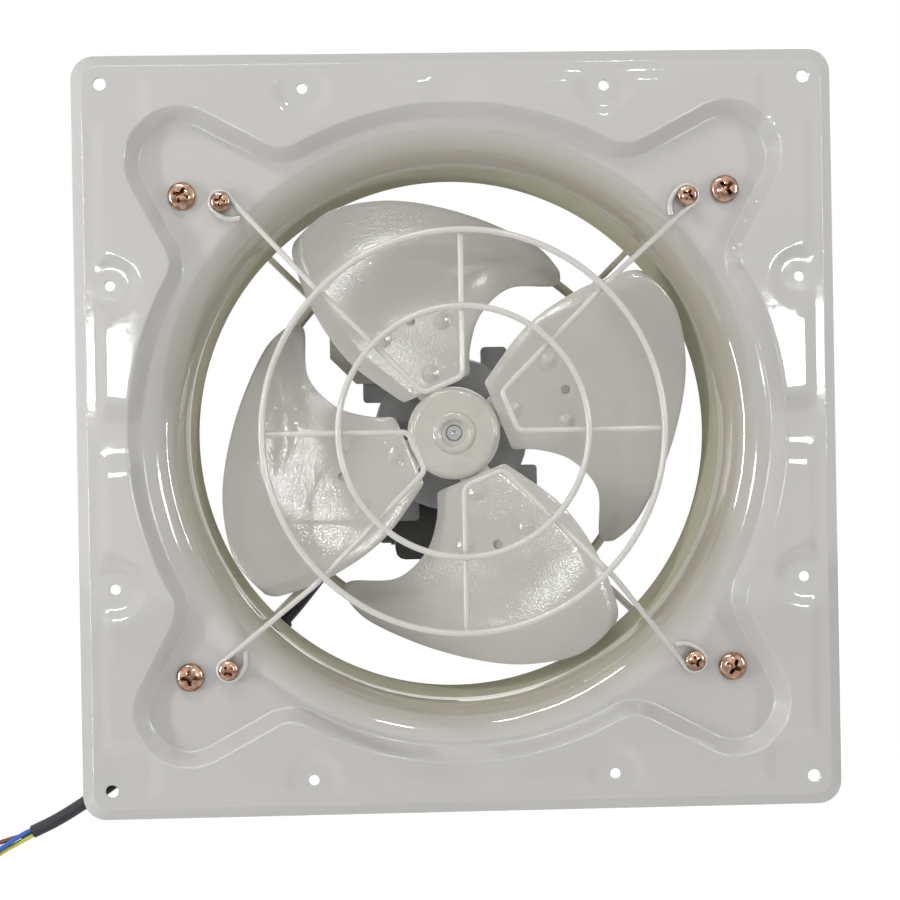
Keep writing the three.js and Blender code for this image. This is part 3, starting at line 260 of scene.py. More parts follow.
def make_tone_drift():
    """A colour that drifts a little lighter and darker, in soft patches and in fine grain."""
    group, source, result = node_group(
        "tone_drift", ["Color"], Color=(0.6, 0.6, 0.6, 1), Shade=(0.5, 0.5, 0.5, 1),
        Patch_Scale=14.0, Grain_Scale=900.0, Amount=0.5)
    patches = noise(group, source["Vector"], source["Patch Scale"], 3.0)
    grain = noise(group, source["Vector"], source["Grain Scale"], 1.0)
    drift = maths(group, "ADD", maths(group, "MULTIPLY", patches, 0.92),
                  maths(group, "MULTIPLY", grain, 0.08))
    share = maths(group, "MULTIPLY", spread(group, drift, 0.3, 0.7, 0.0, 1.0), source["Amount"])
    group.links.new(mixed(group, share, source["Color"], source["Shade"]), result["Color"])
    return group


def make_coat_relief():
    """The heights of a sprayed coat: orange peel, and the slow waves of pressed sheet."""
    group, source, result = node_group(
        "coat_relief", ["Height", "Peel Mask"], Peel_Scale=700.0, Peel=0.5, Wave_Scale=20.0,
        Wave=0.5)
    peel = noise(group, source["Vector"], source["Peel Scale"], 1.0)
    wave = noise(group, source["Vector"], source["Wave Scale"], 1.0)
    height = maths(group, "ADD", maths(group, "MULTIPLY", peel, source["Peel"]),
                   maths(group, "MULTIPLY", wave, source["Wave"]))
    group.links.new(height, result["Height"])
    group.links.new(peel, result["Peel Mask"])
    return group


def make_turning_marks():
    """Fine rings left by a lathe about the fan's axis."""
    group, source, result = node_group("turning_marks", ["Height"], Pitch=4000.0)
    turns = maths(group, "MULTIPLY", off_axis(group, source["Vector"]), source["Pitch"])
    group.links.new(maths(group, "SINE", turns), result["Height"])
    return group


def make_throat_painted_shade():
    """Painted shade: turns a colour towards a darker one near the fan's axis, where the bell and
    throat fall into shade.
    """
    group, source, result = node_group(
        "throat_painted_shade", ["Color"], Color=(0.6, 0.6, 0.6, 1), Deep=(0.2, 0.2, 0.2, 1), Inner=0.12,
        Outer=0.14, Amount=0.0)
    share = spread(group, off_axis(group, source["Vector"]), source["Outer"], source["Inner"], 0.0,
                   source["Amount"])
    group.links.new(mixed(group, share, source["Color"], source["Deep"]), result["Color"])
    return group


TONE_DRIFT = make_tone_drift()
THROAT_PAINTED_SHADE = make_throat_painted_shade()
COAT_RELIEF = make_coat_relief()
TURNING_MARKS = make_turning_marks()


class Finish:
    """A material under construction: its tree, its shader and its object coordinates."""

    def __init__(self, name):
        self.material = bpy.data.materials.new(name + "_finish")
        self.material.use_nodes = True
        self.tree = self.material.node_tree
        self.shader = self.tree.nodes["Principled BSDF"]
        self.at = self.tree.nodes.new("ShaderNodeTexCoord").outputs["Object"]

    def fixed(self, **values):
        for name, value in values.items():
            self.shader.inputs[name.replace("_", " ")].default_value = value
        return self

    def group(self, tree, **values):
        node = self.tree.nodes.new("ShaderNodeGroup")
        node.node_tree = tree
        self.tree.links.new(self.at, node.inputs["Vector"])
        for name, value in values.items():
            node.inputs[name.replace("_", " ")].default_value = value
        return node

    def feed(self, output, socket):
        self.tree.links.new(output, self.shader.inputs[socket])
        return self

    def tones(self, color, shade, patch, grain, amount):
        """The output of a colour that drifts towards its shade."""
        drift = self.group(TONE_DRIFT, Color=(*color, 1), Shade=(*shade, 1), Patch_Scale=patch,
                           Grain_Scale=grain, Amount=amount)
        return drift.outputs["Color"]

    def relief(self, peel_scale, peel, wave_scale, wave, depth, strength, least, most):
        """Bumps the surface, with a roughness that runs between these two over the peel."""
        coat = self.group(COAT_RELIEF, Peel_Scale=peel_scale, Peel=peel, Wave_Scale=wave_scale,
                          Wave=wave)
        self.feed(spread(self.tree, coat.outputs["Peel Mask"], 0.3, 0.7, least, most), "Roughness")
        return self.bump(coat.outputs["Height"], depth, strength)

    def bump(self, height, distance, strength):
        node = self.tree.nodes.new("ShaderNodeBump")
        node.inputs["Distance"].default_value = distance
        node.inputs["Strength"].default_value = strength
        self.tree.links.new(height, node.inputs["Height"])
        return self.feed(node.outputs["Normal"], "Normal")


def enamel(name, color, shade, roughness, peel, peel_scale, wave, patch=9.0, throat=0.0):
    """A gloss sprayed coat over pressed steel, with painted shade that may darken it towards the
    throat.
    """
    finish = Finish(name).fixed(IOR=1.75)
    # painted shade: the coat darkens towards an olive shade over the bell, the throat and what lies
    # behind them
    coat = finish.group(THROAT_PAINTED_SHADE, Deep=(0.36, 0.33, 0.235, 1), Inner=(THROAT_RADIUS - 1) * MM,
                        Outer=(BELL_RADIUS + 1) * MM, Amount=throat)
    finish.tree.links.new(finish.tones(color, shade, patch, 1400.0, 0.6), coat.inputs["Color"])
    finish.feed(coat.outputs["Color"], "Base Color")
    finish.relief(peel_scale, peel, 24.0, wave, 0.0005, 0.6, roughness * 0.8, roughness * 1.25)
    return finish.material


def metal(name, color, shade, roughness, patch, marks=None):
    """Bare or plated metal, drawn and plain or turned on a lathe."""
    finish = Finish(name).fixed(Metallic=1.0)
    finish.feed(finish.tones(color, shade, patch, 3000.0, 0.9), "Base Color")
    if marks:
        height = finish.group(TURNING_MARKS, Pitch=marks).outputs["Height"]
        finish.bump(height, 0.00002, 0.5)
        finish.feed(spread(finish.tree, height, -1.0, 1.0, roughness * 0.8, roughness * 1.2),
                    "Roughness")
    else:
        finish.relief(2500.0, 0.4, 200.0, 0.4, 0.0001, 0.4, roughness * 0.7, roughness * 1.4)
    return finish.material


def plastic(name, color, shade, roughness, grain, grain_scale, **fixed):
    """Moulded plastic or a dull paint."""
    finish = Finish(name).fixed(**fixed)
    finish.feed(finish.tones(color, shade, 60.0, 2500.0, 0.7), "Base Color")
    finish.relief(grain_scale, grain, 120.0, 0.15, 0.0003, 0.5, roughness * 0.85, roughness * 1.15)
    return finish.material


def striped(name, coordinate, pitch, edge, first, second, **fixed):
    """Two colours in stripes across a coordinate; gives the finish and the stripes' wave."""
    finish = Finish(name).fixed(**fixed)
    tree = finish.tree
    at = finish.at if coordinate == "Object" else tree.nodes.new("ShaderNodeUVMap").outputs["UV"]
    turns = maths(tree, "MULTIPLY", split(tree, at)["Y"], 2 * math.pi / pitch)
    wave = maths(tree, "SINE", turns)
    share = spread(tree, wave, -edge, edge, 0.0, 1.0)
    return finish.feed(mixed(tree, share, (*first, 1), (*second, 1)), "Base Color"), wave


def laminated():
    """Stacked stator sheets: dark lines every half millimetre along the axis."""
    finish, wave = striped("lamination", "Object", 0.0005, 0.6, (0.07,) * 3, (0.3,) * 3,
                           Metallic=1.0)
    finish.feed(spread(finish.tree, wave, -1.0, 1.0, 0.6, 0.4), "Roughness")
    return finish.material


def two_tone_core():
    """Green insulation with a yellow stripe along the core."""
    return striped("green_yellow_pvc", "UV", 1.0, 0.05, (0.62, 0.55, 0.08), (0.12, 0.3, 0.07),
                   Roughness=0.4)[0].material


# the cream takes painted shade on the bell and throat, and on the motor legs behind them
CREAM = enamel("cream_enamel", (0.57, 0.56, 0.54), (0.53, 0.518, 0.497), 0.06, 0.08, 210.0, 0.9,
               throat=0.85)
BLADE_CREAM = enamel("blade_enamel", (0.515, 0.505, 0.462), (0.46, 0.448, 0.4), 0.08, 0.28, 1100.0,
                     0.2)
HUB_CREAM = enamel("hub_enamel", (0.545, 0.53, 0.475), (0.5, 0.48, 0.42), 0.07, 1.0, 260.0, 1.2,
                   patch=30.0)
# painted shade: a darker, olive, dull coat that mirrors nothing stands in for the shade inside the
# throat
THROAT_SHADE_COAT = plastic("throat_shade_coat", (0.5, 0.485, 0.37), (0.44, 0.43, 0.32), 0.6, 0.3, 500.0,
                      Specular_IOR_Level=0.0)
WIRE_COAT = enamel("guard_coat", (0.68, 0.66, 0.62), (0.62, 0.6, 0.56), 0.12, 0.02, 500.0, 0.1)
GREY = plastic("grey_paint", (0.34, 0.34, 0.35), (0.28, 0.28, 0.29), 0.4, 0.5, 500.0)
ZINC = metal("yellow_zinc", (0.74, 0.48, 0.34), (0.13, 0.07, 0.06), 0.13, 330.0)
STEEL = metal("steel", (0.48, 0.48, 0.5), (0.3, 0.3, 0.31), 0.26, 260.0, marks=5200.0)
LAMINATION = laminated()
COPPER = metal("copper", (0.55, 0.24, 0.1), (0.4, 0.16, 0.07), 0.4, 90.0)
DARK_GREY = plastic("dark_grey_plastic", (0.06, 0.062, 0.062), (0.085, 0.087, 0.085), 0.42, 0.7,
                    600.0)
BLACK = plastic("black_plastic", (0.02, 0.02, 0.022), (0.03, 0.03, 0.032), 0.5, 0.6, 900.0)
PVC = plastic("black_pvc", (0.02, 0.021, 0.026), (0.03, 0.031, 0.036), 0.32, 0.25, 700.0)
BROWN = plastic("brown_pvc", (0.2, 0.085, 0.04), (0.15, 0.06, 0.03), 0.35, 0.1, 900.0)
BLUE = plastic("blue_pvc", (0.03, 0.11, 0.5), (0.03, 0.15, 0.55), 0.35, 0.1, 900.0)
GREEN_YELLOW = two_tone_core()
FINISHES = {m.name.removesuffix("_finish"): m for m in (
    CREAM, BLADE_CREAM, WIRE_COAT, GREY, ZINC, STEEL, LAMINATION, COPPER, DARK_GREY, BLACK, PVC,
    BROWN, BLUE, GREEN_YELLOW)}
SLOT_OF = {row["node"]: row["material_slot"] for row in frame["record"]["subparts"]}
BODY_OF = {node: body for body, nodes in frame["record"]["behaviour"]["bodies"].items()
           for node in nodes}


# ------------------------------------------------------------------ modelling by hand

def select_only(*pieces):
    """Selects these pieces, and makes the first of them active."""
    bpy.ops.object.select_all(action="DESELECT")
    for piece in pieces:
        piece.select_set(True)
    if pieces:
        bpy.context.view_layer.objects.active = pieces[0]


def stand_for(piece, node):
    """Lets a piece stand for this CAD node, and for no other."""
    piece["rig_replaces"] = []
    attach(piece, BODY_OF[node])
    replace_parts(piece, node)
    return piece


def settle(piece, name, node, smooth=30.0):
    """Names a finished piece, puts its place in its mesh and lets it stand for a CAD node."""
    select_only(piece)
    if piece.type == "CURVE":
        bpy.ops.object.convert(target="MESH")
        piece = bpy.context.active_object
    bpy.ops.object.transform_apply(location=True, rotation=True, scale=True)
    bpy.ops.object.shade_smooth_by_angle(angle=math.radians(smooth))
    piece.name = piece.data.name = name
    piece.data.materials.clear()
    piece.data.materials.append(FINISHES[SLOT_OF[node]])
    stand_for(piece, node)
    piece.select_set(False)
    return piece


def apply_modifiers(piece):
    select_only(piece)
    for modifier in list(piece.modifiers):
        bpy.ops.object.modifier_apply(modifier=modifier.name)
    return piece


def bevel_edges(piece, width, segments=2, angle=30.0):
    modifier = piece.modifiers.new("bevel", "BEVEL")
    modifier.width = width * MM
    modifier.segments = segments
    modifier.limit_method = "ANGLE"
    modifier.angle_limit = math.radians(angle)
    return apply_modifiers(piece)


def copied(piece, angle=0.0):
    """A copy with its own mesh, turned about the fan's axis, counter-clockwise from the front."""
    copy = piece.copy()
    copy.data = piece.data.copy()
    copy.parent = None
    copy.data.transform(Matrix.Rotation(-angle, 4, "Y"))
    return link(copy)


def second_finish(piece, finish, wanted):
    """Gives a piece another finish, on the faces that pass this test."""
    piece.data.materials.append(finish)
    for face in piece.data.polygons:
        if wanted(face):
            face.material_index = 1


def four_about_axis(first, start, names, piece_name, node_name):
    """Turns a settled piece and three copies to their places, each for its own CAD node."""
    for turn, name in reversed(list(enumerate(names))):
        piece = copied(first) if turn else first
        piece.data.transform(Matrix.Rotation(-(turn + start) * QUARTER, 4, "Y"))
        piece.name = piece.data.name = piece_name + name
        stand_for(piece, node_name + name)


def key(point):
    return tuple(round(c * 1e7) for c in point)


def edited():
    return bmesh.from_edit_mesh(bpy.context.edit_object.data)


def redraw():
    bmesh.update_edit_mesh(bpy.context.edit_object.data)


def start_ring(points):
    """A new mesh in edit mode, with a ring of edges on these points."""
    select_only()
    bpy.ops.mesh.primitive_circle_add(vertices=len(points), radius=MM)
    bpy.ops.object.mode_set(mode="EDIT")
    bpy.ops.mesh.select_all(action="SELECT")
    for vertex, point in zip(edited().verts, points):
        vertex.co = point
    redraw()
    return points


def extrude_ring(old, new):
    """Extrudes the selected ring from its old points to the new ones, which stay selected."""
    bpy.ops.mesh.extrude_edges_move()
    where = {key(a): b for a, b in zip(old, new)}
    for vertex in edited().verts:
        if vertex.select:
            vertex.co = where[key(vertex.co)]
    redraw()
    return new


def extrude_rings(rings):
    """A new strip of sheet through rings of points: each is extruded from the one before."""
    last = start_ring(rings[0])
    for ring in rings[1:]:
        last = extrude_ring(last, ring)


def select_ring(points):
    """Selects the edges between these points, and nothing else."""
    wanted = {key(p) for p in points}
    bpy.ops.mesh.select_all(action="DESELECT")
    for edge in edited().edges:
        if all(key(v.co) in wanted for v in edge.verts):
            edge.select_set(True)
    redraw()


def weld(threshold):
    """Welds doubled points of the whole mesh, and turns its faces the same way."""
    bpy.ops.mesh.select_all(action="SELECT")
    bpy.ops.mesh.remove_doubles(threshold=threshold)
    bpy.ops.mesh.normals_make_consistent(inside=False)


def finish_sheet(thickness):
    """Leaves edit mode with the drawn faces turned to the front, and gives the sheet a back."""
    weld(1e-6)
    mesh = edited()
    mesh.normal_update()
    if sum(f.normal.y * f.calc_area() for f in mesh.faces) > 0:
        bpy.ops.mesh.flip_normals()
    bpy.ops.object.mode_set(mode="OBJECT")
    piece = bpy.context.active_object
    modifier = piece.modifiers.new("thickness", "SOLIDIFY")
    modifier.thickness = thickness * MM
    modifier.offset = -1
    modifier.use_even_offset = True
    return apply_modifiers(piece)


def spun(profile, steps, x=0.0, z=0.0):
    """A profile of (radius, depth) points drawn point by point and spun about an axis along Y."""
    select_only()
    bpy.ops.mesh.primitive_plane_add(size=MM)
    bpy.ops.object.mode_set(mode="EDIT")
    mesh = edited()
    mesh.verts.ensure_lookup_table()
    bmesh.ops.delete(mesh, geom=mesh.verts[1:], context="VERTS")
    points = [place(x + radius, depth, z) for radius, depth in profile]
    mesh.verts.ensure_lookup_table()
    mesh.verts[0].co = points[0]
    redraw()
    bpy.ops.mesh.select_all(action="SELECT")
    for before, after in zip(points, points[1:]):
        bpy.ops.mesh.extrude_vertices_move(TRANSFORM_OT_translate={"value": after - before})
    bpy.ops.mesh.select_all(action="SELECT")
    bpy.ops.mesh.spin(steps=steps, angle=2 * math.pi, center=place(x, 0, z), axis=(0, 1, 0))
    weld(2e-6)
    bpy.ops.object.mode_set(mode="OBJECT")
    return bpy.context.active_object


def smooth_route(points, steps):
    """Points on a smooth curve through the given ones."""
    ends = [points[0] * 2 - points[1], *points, points[-1] * 2 - points[-2]]
    route = []
    for a, b, c, d in zip(ends, ends[1:], ends[2:], ends[3:]):
        ta, tb, tc = (b - a).length ** 0.5, (c - b).length ** 0.5, (d - c).length ** 0.5
        leave = ((b - a) / ta - (c - a) / (ta + tb) + (c - b) / tb) * tb
        arrive = ((c - b) / tb - (d - b) / (tb + tc) + (d - c) / tc) * tb
        for k in range(steps):
            t = k / steps
            route.append(b * (2 * t ** 3 - 3 * t ** 2 + 1) + leave * (t ** 3 - 2 * t ** 2 + t)
                         + c * (3 * t ** 2 - 2 * t ** 3) + arrive * (t ** 3 - t ** 2))
    return [*route, points[-1]]


def drawn_tube(name, points, diameter, cyclic=False, sides=5):
    """A round bar or cord along the points, as a curve."""
    curve = bpy.data.curves.new(name, "CURVE")
    curve.dimensions = "3D"
    curve.bevel_depth = diameter / 2 * MM
    curve.bevel_resolution = sides
    curve.use_fill_caps = True
    spline = curve.splines.new("POLY")
    spline.points.add(len(points) - 1)
    for slot, point in zip(spline.points, points):
        slot.co = (*point, 1)
    spline.use_cyclic_u = cyclic
    spline.use_smooth = True
    return link(bpy.data.objects.new(name, curve))


def joined(*pieces):
    """The pieces as one object, which is the first of them."""
    select_only(*pieces)
    bpy.ops.object.join()
    return pieces[0]


def cut_away(piece, cutter):
    """Takes the cutter's volume off the piece, and the cutter away."""
    difference = piece.modifiers.new("cut", "BOOLEAN")
    difference.operation = "DIFFERENCE"
    difference.solver = "EXACT"
    difference.object = cutter
    apply_modifiers(piece)
    bpy.data.objects.remove(cutter)
    return piece


def bar(sides, radius, length, at=(0, 0, 0)):
    """A straight bar along Y, with its middle here."""
    select_only()
    bpy.ops.mesh.primitive_cylinder_add(vertices=sides, radius=radius * MM, depth=length * MM,
                                        location=at, rotation=(QUARTER, 0, 0))
    bpy.ops.object.transform_apply(location=True, rotation=True, scale=True)
    return bpy.context.active_object


# ------------------------------------------------------------------ cord and its cores

def beside_leg(along, beside, depth):
    """A place beside the lower left leg, from its distance along the diagonal and beside it."""
    return place(DIAGONAL * (beside - along), depth, -DIAGONAL * (along + beside))


CORD_ROUTE = [
    place(-36, 121, -52), place(-48, 121, -52), place(-60, 119.5, -53.5),
    beside_leg(97, 2.6, 113), beside_leg(116, 5.2, 103.5), beside_leg(135, 6.1, 93.5),
    beside_leg(152, 6.1, 83), beside_leg(164, 6.1, 68), beside_leg(169, 6.1, 50),
    beside_leg(176, 5.6, 32.5), beside_leg(190, 4.2, 20.5), beside_leg(210, 1.8, 16),
    beside_leg(232, -1.6, 15.5), beside_leg(252, -5.6, 15.5), beside_leg(266, -9.2, 15.5),
    beside_leg(277.8, -13.4, 15.5),
]
SHEATH_END = CORD_ROUTE[-1]
SHEATH_AXIS = (SHEATH_END - CORD_ROUTE[-2]).normalized()


def beyond_sheath(ahead_of, above, behind):
    return SHEATH_END + MM * Vector((
        SHEATH_AXIS.x * ahead_of + SHEATH_AXIS.z * above,
        behind,
        SHEATH_AXIS.z * ahead_of - SHEATH_AXIS.x * above,
    ))


CORE_ROUTES = {
    "lead_brown": [(SEAT, 0, 1.4), (4, 0.1, 1.4), (10, 1.3, 1.3), (17, 2.4, 1.1), (30, 4.5, 1),
                   (46, 6, 0.6), (64, 6.5, 0)],
    "lead_blue": [(SEAT, 1.21, -0.7), (4, 1.2, -0.8), (10, 0.7, -1.1), (17, -0.2, -1.3),
                  (30, -1.2, -1), (46, -3, -0.5), (64, -6, 0)],
    "lead_green_yellow": [(SEAT, -1.21, -0.7), (4, -1.4, -0.5), (10, -1.8, 0.4), (17, -2.2, 1.2),
                          (30, -4.5, 1.6), (46, -8.5, 1.6), (62, -14.5, 1)],
}


def free_cord(name, points, diameter, finish):
    piece = drawn_tube(name + "_flex", points, diameter, sides=6)
    piece.data.materials.append(finish)
    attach(piece, "frame")
    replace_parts(piece, name)


cord_points = smooth_route(CORD_ROUTE, 9)
free_cord("power_cord", cord_points, CORD, PVC)
for core_name, core_finish in (("lead_brown", BROWN), ("lead_blue", BLUE),
                               ("lead_green_yellow", GREEN_YELLOW)):
    core_points = smooth_route([beyond_sheath(*p) for p in CORE_ROUTES[core_name]], 8)
    free_cord(core_name, core_points, CORE, core_finish)


# ------------------------------------------------------------------ outlines of the panel

def arc(x, z, radius, start, stop, steps):
    return [(x + radius * math.cos(start + (stop - start) * i / steps),
             z + radius * math.sin(start + (stop - start) * i / steps)) for i in range(steps + 1)]


def four_times(quarter):
    points = []
    for turn in range(4):
        c, s = round(math.cos(turn * QUARTER)), round(math.sin(turn * QUARTER))
        points += [(x * c - z * s, x * s + z * c) for x, z in quarter]
    return points


def along_line(start, stop, steps):
    """Points between two ends, without the ends."""
    (ax, az), (bx, bz) = start, stop
    return [(ax + (bx - ax) * i / steps, az + (bz - az) * i / steps) for i in range(1, steps)]


def rounded_square(half, radius):
    centre = half - radius
    corner = arc(centre, centre, radius, 0, QUARTER, 12)
    return four_times(along_line((half, -centre), (half, centre), 16) + corner)


def lobed_outline(inset):
    """The recess: a circle with a tapered, round-ended lobe on each diagonal."""
    radius, tip, fillet = RECESS_RADIUS - inset, LOBE_RADIUS - inset, LOBE_FILLET + inset
    s, c = math.sin(LOBE_TAPER), math.cos(LOBE_TAPER)
    off_flank = LOBE_CENTRE * s + tip + fillet
    along = math.sqrt((radius + fillet) ** 2 - off_flank ** 2)
    u, v = off_flank * s + along * c, off_flank * c - along * s
    touch, flank = math.atan2(v, u), QUARTER - LOBE_TAPER
    tip_arc = arc(LOBE_CENTRE, 0, tip, -flank, flank, 46)
    enter = arc(u, -v, fillet, math.pi - touch, math.pi - flank, 8)
    leave = arc(u, v, fillet, math.pi + flank, math.pi + touch, 8)
    lobe = (enter + along_line(enter[-1], tip_arc[0], 5) + tip_arc
            + along_line(tip_arc[-1], leave[0], 5) + leave)
    turned = [((x - z) * DIAGONAL, (x + z) * DIAGONAL) for x, z in lobe]
    first, last = QUARTER / 2 + touch, 3 * QUARTER / 2 - touch
    pad_at = math.atan2(EDGE_HOLE_SPACING / 2, EDGE_HOLE_PLACE)
    stops = [first, QUARTER - pad_at - PAD_HALF_ANGLE, QUARTER - pad_at + PAD_HALF_ANGLE,
             QUARTER + pad_at - PAD_HALF_ANGLE, QUARTER + pad_at + PAD_HALF_ANGLE, last]
    bare = []
    for start, stop, steps in zip(stops, stops[1:], (2, 18, 22, 18, 2)):
        bare += arc(0, 0, radius, start, stop, steps)[1:]
    return four_times(turned + bare[:-1])


def lifted(outline, depth):
    return [place(x, depth, z) for x, z in outline]


def wire_ring(node, name, radius, depth, diameter):
    """A ring of round wire about the fan's axis."""
    round_axis = arc(0, 0, radius, 0, 2 * math.pi, 128)[:-1]
    ring = drawn_tube(name, lifted(round_axis, depth), diameter, cyclic=True)
    settle(ring, name, node, smooth=60)


# ------------------------------------------------------------------ panel

def field_depth(x, z):
    """Depth of the raised field, which falls to the border, the pads and the cross channels."""
    far, near = max(abs(x), abs(z)), min(abs(x), abs(z))
    pad_edge = PANEL_HALF - CORNER_PAD
    inside = [FIELD_HALF - far, near - CHANNEL_HALF,
              math.hypot(far - EDGE_HOLE_PLACE, near - EDGE_HOLE_SPACING / 2) - EDGE_PAD_RADIUS]
    past, beside = far - pad_edge, near - pad_edge
    if past > 0 and beside > 0:
        inside.append(-min(past, beside))
    else:
        inside.append(math.hypot(max(-past, 0), max(-beside, 0)))
    weights = sum(math.exp(-max(min(d, 30), -30) / FIELD_BLEND) for d in inside)
    return -FIELD_RISE * smoothstep(-FIELD_BLEND * math.log(weights), 0, FIELD_SLOPE)


def step_profile(height):
    """(inset, share of the fall) down the recess wall: a bend, a flat slope and a bend."""
    low, high = 0.2, 1.5
    for _ in range(40):
        slope = (low + high) / 2
        run = (STEP_WIDTH - 2 * STEP_BEND * math.sin(slope)) / math.cos(slope)
        fall = 2 * STEP_BEND * (1 - math.cos(slope)) + run * math.sin(slope)
        low, high = (slope, high) if fall < height else (low, slope)
    bend = [(STEP_BEND * math.sin(a), STEP_BEND * (1 - math.cos(a)) / height)
            for a in stations(6, slope)]
    return bend + [(STEP_WIDTH / 2, 0.5)] + [(STEP_WIDTH - i, 1 - f) for i, f in reversed(bend)]


def rim_profile():
    """(inset, depth) from the flat border over a bend, a slope and a bend to the rim's side."""
    points = [(RIM_BEND - RIM_INNER_BEND * math.sin(a), RIM_INNER_BEND * (1 - math.cos(a)))
              for a in stations(5, RIM_SLOPE)[1:]]
    inset, depth = points[-1]
    run = inset - RIM_OUTER_BEND * (1 - math.sin(RIM_SLOPE))
    foot = depth + run * math.tan(RIM_SLOPE)
    points.append((inset - run / 2, (depth + foot) / 2))
    for a in (RIM_SLOPE + more for more in stations(6, QUARTER - RIM_SLOPE)):
        points.append((RIM_OUTER_BEND * (1 - math.sin(a)),
                       foot + RIM_OUTER_BEND * (math.cos(RIM_SLOPE) - math.cos(a))))
    return points + [(0, RIM_DEPTH - 2), (0, RIM_DEPTH)]


def outwards_to(outline, x, z):
    """Where the ray from the axis through this point leaves a convex outline about the axis."""
    for (ax, az), (bx, bz) in zip(outline, outline[1:] + outline[:1]):
        before, after = x * az - z * ax, x * bz - z * bx
        if before <= 0 < after and ax * x + az * z > 0:
            share = before / (before - after)
            return ax + (bx - ax) * share, az + (bz - az) * share
    raise ValueError("the outline doesn't close about the axis")


def holes_in_panel():
    """(x, z, diameter, depth of the skin) of every hole that is punched through the panel."""
    holes = []
    for turn, (sx, sz) in enumerate(CORNERS.values()):
        holes.append((sx * CORNER_HOLE_PLACE, sz * CORNER_HOLE_PLACE, CORNER_HOLE, 0))
        for (x, z), diameter in ((GUARD_SCREW_AT, GUARD_SCREW_HOLE),
                                 (LEG_SCREW_AT, LEG_SCREW_HOLE)):
            holes.append((sx * x, sz * z, diameter, FLOOR_DEPTH))
        for side in (-EDGE_HOLE_SPACING / 2, EDGE_HOLE_SPACING / 2):
            holes.append((*four_times([(EDGE_HOLE_PLACE, side)])[turn], EDGE_HOLE, 0))
    return holes


def panel_side(inset):
    """The panel's outline, this far inside its side."""
    return rounded_square(PANEL_HALF - inset, PANEL_CORNER - 0.6 * inset)


def panel_rings():
    """Rings of points from the throat over bell, floor, recess wall and field to the rim."""
    edge, foot = lobed_outline(0), lobed_outline(STEP_WIDTH)
    throat = [(THROAT_RADIUS, depth) for depth in (THROAT_DEPTH, THROAT_DEPTH - 1, THROAT_MIDDLE)]
    throat += [(BELL_RADIUS - (BELL_RADIUS - THROAT_RADIUS) * math.sin(a),
                FLOOR_DEPTH + BELL_LENGTH * (1 - math.cos(a))) for a in stations(16, QUARTER)[::-1]]
    rings = [[place(radius * x / math.hypot(x, z), depth, radius * z / math.hypot(x, z))
              for x, z in foot] for radius, depth in throat]
    mouth = rings[-1]
    for share in stations(4)[1:-1]:
        rings.append([inner.lerp(place(x, FLOOR_DEPTH, z), share)
                      for (x, z), inner in zip(foot, mouth)])
    tops = [field_depth(x, z) for x, z in edge]
    for inset, fall in reversed(step_profile(FLOOR_DEPTH + FIELD_RISE)):
        rings.append([place(x, top + (FLOOR_DEPTH - top) * fall, z)
                      for (x, z), top in zip(lobed_outline(inset), tops)])
    rim_edge = panel_side(RIM_BEND)
    reach = [outwards_to(rim_edge, x, z) for x, z in edge]
    for share in stations(24)[1:]:
        spots = [(ax + (bx - ax) * share, az + (bz - az) * share)
                 for (ax, az), (bx, bz) in zip(edge, reach)]
        rings.append([place(x, field_depth(x, z), z) for x, z in spots])
    for inset, depth in rim_profile():
        side = panel_side(inset)
        rings.append([place(x, depth, z) for x, z in (outwards_to(side, *p) for p in edge)])
    return rings


def make_panel():
    extrude_rings(panel_rings())
    panel = finish_sheet(SHEET)
    drills = []
    for x, z, diameter, depth in holes_in_panel():
        radius, mouth = diameter / 2, diameter / 2 + HOLE_LIP + 1
        front, rear = depth - DRILL_REACH, depth + DRILL_REACH
        drills.append(spun([(0, front), (mouth, front), (mouth, depth - 1),
                            (radius, depth + HOLE_LIP), (radius, rear), (0, rear), (0, front)],
                           28, x, z))
    cut_away(panel, joined(*drills))
    nuts = [bevel_edges(bar(6, NUT_RADIUS, NUT_HEIGHT, place(x, depth + SHEET + NUT_DEPTH, z)), 0.4)
            for x, z, diameter, depth in holes_in_panel() if diameter == GUARD_SCREW_HOLE]
    panel = settle(joined(panel, *nuts), "pressed_panel", "frame_panel", smooth=42)
    # the throat's inner faces take the painted-shade coat
    second_finish(panel, THROAT_SHADE_COAT, lambda face: (
        face.center.y > THROAT_SHADE_START * MM
        and face.center.xz.length < (THROAT_RADIUS + THROAT_SHADE_REACH) * MM
        and face.normal.dot(face.center) < 0))


make_panel()


# ------------------------------------------------------------------ guard

